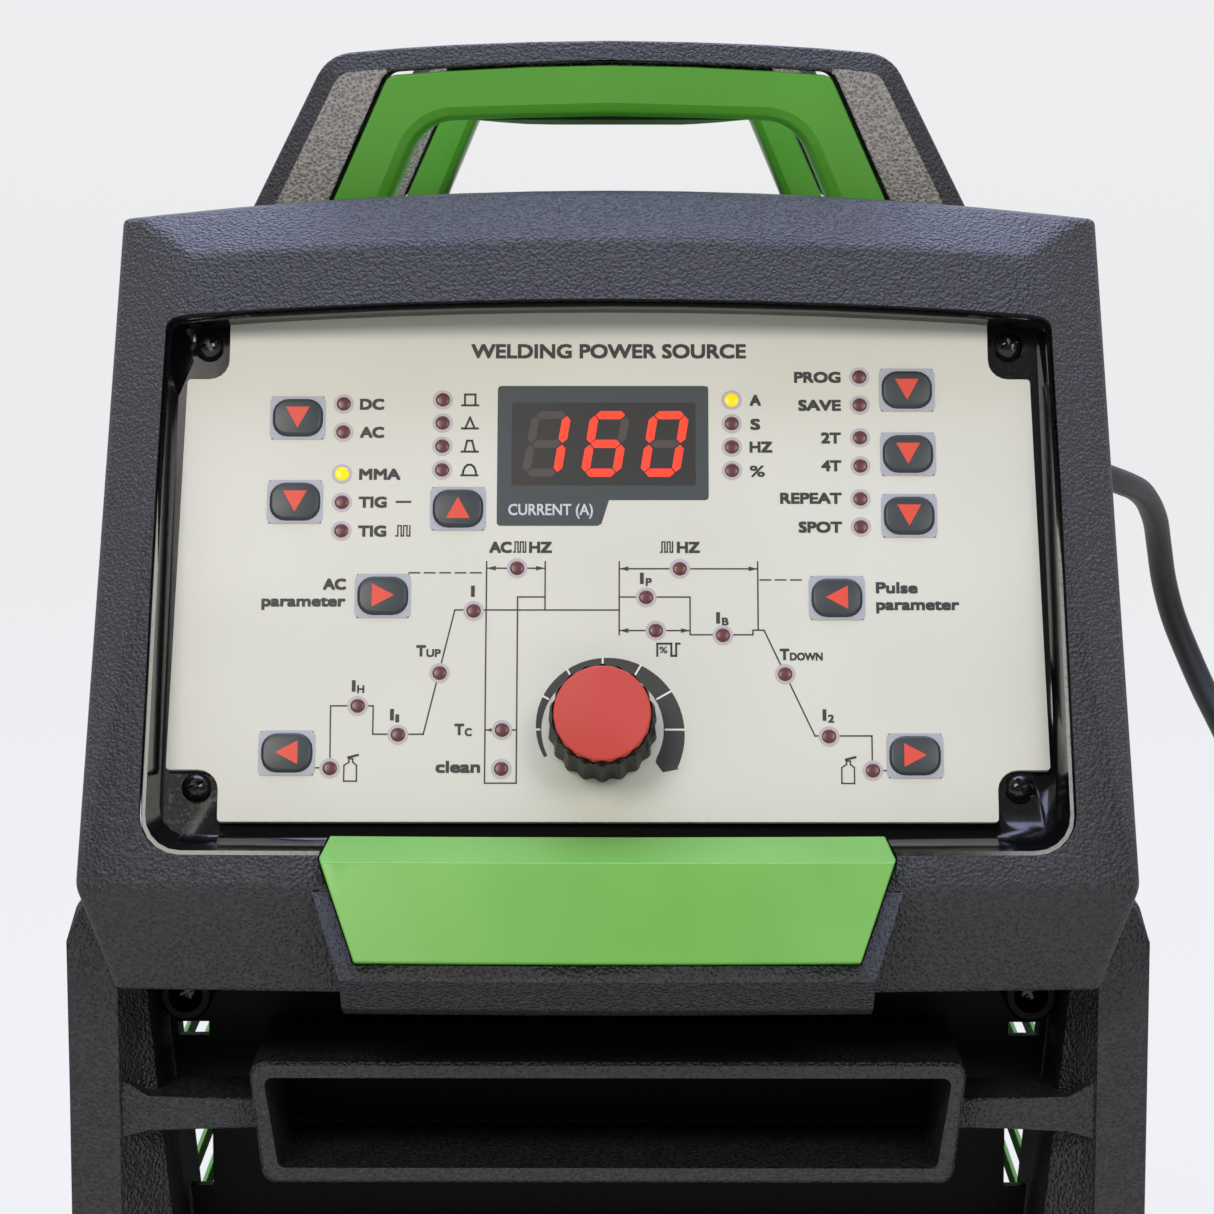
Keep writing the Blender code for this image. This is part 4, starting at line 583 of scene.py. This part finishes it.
def addText(bm, text, x, y, capHeight, width, side, weight, low=0.005, high=0.05):
    # bold type is the same letters printed again, a little to each corner
    mesh = textMesh(text)
    part = bmesh.new()
    part.from_mesh(mesh)
    left, right = (pick(v.co.x for v in part.verts) for pick in (min, max))
    start = (x if side == "left" else x - width) + weight
    across = (width - 2 * weight) / (right - left)
    upward = (capHeight - 2 * weight) / capitalHeight
    for v in part.verts:
        v.co = (start + (v.co.x - left) * across, y + (v.co.y - capitalHeight / 2) * upward,
                high if v.co.z > 0 else low)
    corners = ((1, 1), (-1, 1), (-1, -1), (1, -1), (0, 0)) if weight else ((0, 0),)
    last = Vector((0, 0))
    for corner in corners:
        step = Vector(corner) * weight - last
        bmesh.ops.translate(part, verts=part.verts, vec=(step.x, step.y, 0.002))
        last += step
        part.to_mesh(mesh)
        bm.from_mesh(mesh)
    part.free()
    bpy.data.meshes.remove(mesh)


def makeLettering():
    bm = bmesh.new()
    for label in labels:
        addText(bm, *label)
    addPanelPiece("panel_lettering", bm, inks["black"])
    caption = bmesh.new()
    addText(caption, "CURRENT (A)", -20.9, 21.1, 2.6, 17.7, "left", 0.05, 0.06, 0.1)
    addPanelPiece("display_caption", caption, inks["caption"])


# glass and lens are x, y, width, height and corner
displayForm = {"left": -23.3, "right": 21.0, "top": 48.2, "foot": 23.1, "tabFoot": 17.5,
               "glass": (-1.1, 35.7, 43.4, 24.2, 0.8), "lens": (-1.0, 35.4, 38.6, 18.2, 0.5)}
digitForm = {"height": 14.4, "width": 8.3, "thick": 1.75, "gap": 0.22, "slant": 0.16,
             "places": (-13.0, -0.6, 11.8), "middle": 35.4}
segmentSets = {"1": "bc", "6": "acdefg", "0": "abcdef"}


def segmentOutlines():
    # the seven bars of one digit, centred on zero
    w, h, t = digitForm["width"] / 2, digitForm["height"] / 2, digitForm["thick"] / 2
    gap = digitForm["gap"]

    def flat(y):
        return [(-w + gap + t, y), (-w + gap + 2 * t, y + t), (w - gap - 2 * t, y + t),
                (w - gap - t, y), (w - gap - 2 * t, y - t), (-w + gap + 2 * t, y - t)]

    def tall(x, low, high):
        return [(x, low + gap), (x + t, low + gap + t), (x + t, high - gap - t),
                (x, high - gap), (x - t, high - gap - t), (x - t, low + gap + t)]

    return {"a": flat(h - t), "g": flat(0), "d": flat(-h + t),
            "f": tall(-w + t, 0, h - t), "b": tall(w - t, 0, h - t),
            "e": tall(-w + t, -h + t, 0), "c": tall(w - t, -h + t, 0)}


def makeDisplay():
    f = displayForm
    film = bmesh.new()
    addSlab(film, roundedBox((f["left"] + f["right"]) / 2, (f["top"] + f["foot"]) / 2,
                             f["right"] - f["left"], f["top"] - f["foot"], 0.9), 0.01, 0.05)
    addSlab(film, [(f["left"], f["foot"] + 1.5), (f["left"], f["tabFoot"] + 0.5),
                   (f["left"] + 0.5, f["tabFoot"]), (-2.2, f["tabFoot"]),
                   (-1.4, f["tabFoot"] + 0.5), (0.6, f["foot"] + 1.5)], 0.01, 0.049)
    addPanelPiece("display_surround", film, inks["slate"])
    lens = bmesh.new()
    addSlab(lens, roundedBox(*f["glass"]), -10.5, 0.06)
    window = addPanelPiece("display_glass", lens, inks["slate"], "machine")
    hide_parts("display_window")
    smoked = bmesh.new()
    addSlab(smoked, roundedBox(*f["lens"]), 0.05, 0.09)
    addPanelPiece("display_lens", smoked, inks["lensDark"])
    on, off = bmesh.new(), bmesh.new()
    for x, digit in zip(digitForm["places"], "160"):
        for key, outline in segmentOutlines().items():
            moved = [(x + px + py * digitForm["slant"], digitForm["middle"] + py) for px, py in outline]
            addSlab(on if key in segmentSets[digit] else off, moved, 0.08, 0.12)
    addPanelPiece("display_digits", on, inks["segmentOn"])
    addPanelPiece("display_digits_unlit", off, inks["segmentOff"])


dialForm = {"centre": (-1.1, -26.2), "inner": 12.6, "ticks": 30, "from": -28, "to": 206, "steps": 48,
            "narrow": 13.3, "widening": 4.2}


def dialOuter(angle):
    # the band widens clockwise from the lower left to the lower right
    return dialForm["narrow"] + dialForm["widening"] * (1 - (angle + 33) / 243) ** 1.1


def makeDial():
    cx, cy = dialForm["centre"]
    band, ticks = bmesh.new(), bmesh.new()
    outer, inner = [], []
    steps = dialForm["steps"]
    for step in range(steps + 1):
        angle = dialForm["from"] + (dialForm["to"] - dialForm["from"]) * step / steps
        turn = math.radians(angle)
        outer.append((cx + dialOuter(angle) * math.cos(turn), cy + dialOuter(angle) * math.sin(turn)))
        inner.append((cx + dialForm["inner"] * math.cos(turn), cy + dialForm["inner"] * math.sin(turn)))
    tip = [(cx + 10.9, cy - 6.9), (cx + 12.4, cy - 9.0)]
    for i in range(steps):
        addSlab(band, [inner[i], outer[i], outer[i + 1], inner[i + 1]], 0.01, 0.05)
    addSlab(band, [inner[0], tip[0], tip[1], (cx + 15.8, cy - 8.3), outer[0]], 0.01, 0.05)
    bmesh.ops.remove_doubles(band, verts=band.verts, dist=1e-4)
    for angle in range(0, 181, dialForm["ticks"]):
        turn = math.radians(angle)
        a, b = dialForm["inner"] + 0.4, dialOuter(angle) - 0.1
        addLine(ticks, [(cx + a * math.cos(turn), cy + a * math.sin(turn)),
                        (cx + b * math.cos(turn), cy + b * math.sin(turn))], 0.4, 0.03, 0.08)
    addPanelPiece("dial_band", band, inks["black"])
    addPanelPiece("dial_ticks", ticks, inks["white"])


makeLamps()
makeKeys()
makeGraph()
makeLettering()
makeDisplay()
makeDial()
print("panel artwork made")


def panHead(bm, radius, height):
    # the domed head of a screw, standing on z = 0
    made = bmesh.ops.create_uvsphere(bm, u_segments=32, v_segments=16, radius=radius)
    bmesh.ops.scale(bm, verts=made["verts"], vec=(1, 1, height / radius))
    bmesh.ops.bisect_plane(bm, geom=bm.verts[:] + bm.edges[:] + bm.faces[:],
                           plane_co=(0, 0, 0), plane_no=(0, 0, -1), clear_outer=True)
    bmesh.ops.edgeloop_fill(bm, edges=[e for e in bm.edges if e.is_boundary])
    bmesh.ops.recalc_face_normals(bm, faces=bm.faces)


def makeScrew(name, node, matrix, radius, height):
    # a cross is cut from the head
    head = bmesh.new()
    panHead(head, radius, height)
    bmesh.ops.transform(head, matrix=matrix, verts=head.verts)
    screw = addPiece(name, head, looks["gloss_black"], "machine", 50)
    cutter = bmesh.new()
    for turn in (25, 115):
        made = bmesh.ops.create_cube(cutter, size=1)["verts"]
        bmesh.ops.scale(cutter, verts=made, vec=(radius * 1.15, radius * 0.24, height))
        bmesh.ops.translate(cutter, verts=made, vec=(0, 0, height * 0.95))
        bmesh.ops.rotate(cutter, verts=made, cent=(0, 0, 0),
                         matrix=Matrix.Rotation(math.radians(turn), 3, "Z"))
    bmesh.ops.transform(cutter, matrix=matrix, verts=cutter.verts)
    mesh = bpy.data.meshes.new("crossTool")
    cutter.to_mesh(mesh)
    cutter.free()
    tool = bpy.data.objects.new("crossTool", mesh)
    scene.collection.objects.link(tool)
    step = screw.modifiers.new("cross", "BOOLEAN")
    step.object = tool
    step.use_self = True
    graph = bpy.context.evaluated_depsgraph_get()
    cut = bpy.data.meshes.new_from_object(screw.evaluated_get(graph))
    screw.modifiers.clear()
    screw.data = cut
    cut.shade_smooth()
    cut.set_sharp_from_angle(angle=math.radians(40))
    bpy.data.objects.remove(tool)
    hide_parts(node)


screwForm = {"radius": 3.1, "panelHeight": 2.4, "postHeight": 2.0}
screwPlaces = {"top_left": (-84.6, 57.4), "top_right": (84.6, 57.4),
               "foot_left": (-84.6, -38.1), "foot_right": (84.6, -38.1)}
for tag, (x, y) in screwPlaces.items():
    makeScrew("screw_" + tag, "panel_screw_" + tag, panelMatrix @ Matrix.Translation((x, y, -1.6)),
              screwForm["radius"], screwForm["panelHeight"])
for side in ("left", "right"):
    low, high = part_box("frame_screw_" + side)
    place = Matrix.Translation(((low[0] + high[0]) / 2, high[1] - 1.2 * mm, (low[2] + high[2]) / 2))
    makeScrew("post_screw_" + side, "frame_screw_" + side,
              place @ Matrix.Rotation(math.radians(90), 4, "X") @ Matrix.Scale(mm, 4),
              screwForm["radius"], screwForm["postHeight"])
print("screws made")


leadForm = {"radius": 4.6 * mm, "coilCentre": (0.2280, 0.1600), "coilRadius": 0.0520, "lift": 0.3 * mm}
# degrees along the coil: its end, the length of one lane, and where a lane starts to change to the next
coilForm = {"end": 1764, "step": 18, "lane": 320, "change": 215}
leadRoute = [
    (0.0780, 0.2683, 0.2830), (0.0780, 0.2740, 0.2830), (0.0833, 0.2940, 0.2828), (0.0980, 0.3088, 0.2815),
    (0.1220, 0.3212, 0.2786), (0.1460, 0.3318, 0.2746), (0.1635, 0.3420, 0.2700), (0.1761, 0.3570, 0.2652),
    (0.1880, 0.3780, 0.2585), (0.1950, 0.3940, 0.2480), (0.1982, 0.4040, 0.2365), (0.2010, 0.4100, 0.2230),
    (0.2050, 0.4115, 0.2090), (0.2103, 0.4085, 0.1955), (0.2156, 0.4025, 0.1830), (0.2210, 0.3945, 0.1715),
    (0.2290, 0.3830, 0.1540), (0.2395, 0.3660, 0.1270), (0.2510, 0.3440, 0.0960), (0.2620, 0.3200, 0.0660),
    (0.2710, 0.2950, 0.0400), (0.2780, 0.2700, 0.0210), (0.2823, 0.2460, 0.0098), (0.2843, 0.2210, 0.0056),
    (0.2846, 0.1942, 0.0049),
]
leadTail = [  # over the outer turn and down into the plug
    (0.2725, 0.1775, 0.0245), (0.2763, 0.1640, 0.0283), (0.2784, 0.1500, 0.0315), (0.2795, 0.1360, 0.0327),
    (0.2800, 0.1210, 0.0310), (0.2800, 0.1080, 0.0277), (0.2800, 0.0960, 0.0251), (0.2800, 0.0850, 0.0241),
]


def coilPoints():
    # nearly five turns in six lanes, two side by side on each of three layers; it steps to the next lane
    # a little earlier each time round, so that no two turns cross
    cx, cy = leadForm["coilCentre"]
    r, base = leadForm["radius"], leadForm["lift"] + leadForm["radius"]
    lanes = [(r, 0), (-r, 0), (-r, 2 * r), (r, 2 * r), (r, 4 * r), (-r, 4 * r)]
    last = len(lanes) - 1
    points = []
    for degree in range(0, coilForm["end"] + 1, coilForm["step"]):
        turn, local = min(degree // coilForm["lane"], last), degree % coilForm["lane"]
        aside, up = lanes[turn]
        nextAside, nextUp = lanes[min(turn + 1, last)]
        blend = max(0.0, (local - coilForm["change"]) / (coilForm["lane"] - coilForm["change"]))
        blend = blend if turn < last else 0.0
        blend = blend * blend * (3 - 2 * blend)
        radius = leadForm["coilRadius"] + aside + (nextAside - aside) * blend
        height = base + up + (nextUp - up) * blend
        angle = -math.radians(degree)
        points.append((cx + radius * math.cos(angle), cy + radius * math.sin(angle), height))
    return points


def smoothRoute(points, spacing):
    # a curve through every point, with an end point added past each end
    ends = [2 * Vector(points[0]) - Vector(points[1])] + [Vector(p) for p in points]
    ends.append(2 * Vector(points[-1]) - Vector(points[-2]))
    route = []
    for a, b, c, d in zip(ends, ends[1:], ends[2:], ends[3:]):
        steps = max(2, round((c - b).length / spacing))
        for step in range(steps):
            t = step / steps
            route.append(0.5 * (2 * b + (c - a) * t + (2 * a - 5 * b + 4 * c - d) * t * t
                                + (3 * b - a - 3 * c + d) * t ** 3))
    return route + [Vector(points[-1])]


def makeLead():
    route = smoothRoute(leadRoute + coilPoints() + leadTail, 4 * mm)
    curve = bpy.data.curves.new("mainsLead", "CURVE")
    curve.dimensions = "3D"
    curve.bevel_depth = leadForm["radius"]
    curve.bevel_resolution = 4
    curve.use_fill_caps = True
    spline = curve.splines.new("POLY")
    spline.points.add(len(route) - 1)
    for point, at in zip(spline.points, route):
        point.co = (*at, 1)
    curve.materials.append(looks["rubber"])
    lead = bpy.data.objects.new("mains_lead", curve)
    scene.collection.objects.link(lead)
    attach(lead, "machine")
    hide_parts("mains_cord", "cord_coil")


tieForm = {"across": 18.8, "height": 27.75, "foot": 0.27, "thick": 0.24, "corner": 4.4, "width": 13}


def makeTie():
    # woven strap round the coil, on the side away from the machine's end of the lead
    cx, cy = leadForm["coilCentre"]
    across, height, thick, corner = (tieForm[key] for key in ("across", "height", "thick", "corner"))
    bm = bmesh.new()
    addRing(bm, roundedBox(0, 0, across + 2 * thick, height + 2 * thick, corner + thick),
            roundedBox(0, 0, across, height, corner), -tieForm["width"] / 2, tieForm["width"] / 2)
    middle = (tieForm["foot"] + height / 2) * mm
    place = Matrix.Translation((cx - leadForm["coilRadius"], cy, middle))
    bm.transform(place @ Matrix.Rotation(math.radians(90), 4, "X") @ Matrix.Scale(mm, 4))
    addPiece("coil_tie", bm, looks["matt_black"], "machine")


makeTie()
makeLead()


lightForm = {
    "overhead": {"place": (0, 0.35, 1.60), "aim": (0, -0.1, 0.35),
                 "size": 1.6, "power": 40, "tint": "#C4CEFF"},
    "keyLeft": {"place": (-0.62, -1.45, 1.25), "aim": (0, -0.25, 0.28),
                "size": 0.6, "power": 10.5, "tint": "#FFF8F0"},
    "keyRight": {"place": (0.70, -1.45, 1.20), "aim": (0, -0.25, 0.28),
                 "size": 0.5, "power": 6.5, "tint": "#FFFDFA"},
}


def makeLights():
    for name, form in lightForm.items():
        data = bpy.data.lights.new(name + "Softbox", "AREA")
        data.shape = "SQUARE"
        data.size = form["size"]
        data.energy = form["power"]
        data.color = tone(form["tint"])[:3]
        light = bpy.data.objects.new(name + "Softbox", data)
        light.location = form["place"]
        way = Vector(form["aim"]) - Vector(form["place"])
        light.rotation_euler = way.to_track_quat("-Z", "Y").to_euler()
        scene.collection.objects.link(light)


def makeStage():
    bm = bmesh.new()
    bmesh.ops.create_grid(bm, x_segments=1, y_segments=1, size=20)
    mesh = bpy.data.meshes.new("studioFloor")
    bm.to_mesh(mesh)
    bm.free()
    floor = bpy.data.objects.new("studioFloor", mesh)
    scene.collection.objects.link(floor)
    # seamless paper, lifted to the brightness of the wall behind it
    made, _, shader = startMaterial("seamlessPaper", "#4A4A4A", 0.9)
    shader.inputs["Emission Color"].default_value = tone("#EEEFF0")
    shader.inputs["Emission Strength"].default_value = 0.865
    mesh.materials.append(made)
    world = bpy.data.worlds.new("studio")
    scene.world = world
    world.use_nodes = True
    tree = world.node_tree
    # bright wall behind, darker room in front
    around = addNode(tree, "ShaderNodeTexCoord")
    way = addNode(tree, "ShaderNodeSeparateXYZ", {}, {0: around.outputs["Generated"]})
    ramp = addNode(tree, "ShaderNodeMapRange",
                   {"From Min": -0.5, "From Max": 0.3, "To Min": 0.22, "To Max": 0.87},
                   {"Value": way.outputs["Y"]})
    tree.nodes["Background"].inputs["Color"].default_value = tone("#FDFDFF")
    tree.links.new(ramp.outputs["Result"], tree.nodes["Background"].inputs["Strength"])


makeLights()
makeStage()
scene.view_settings.view_transform = "Standard"

print("scene ready")
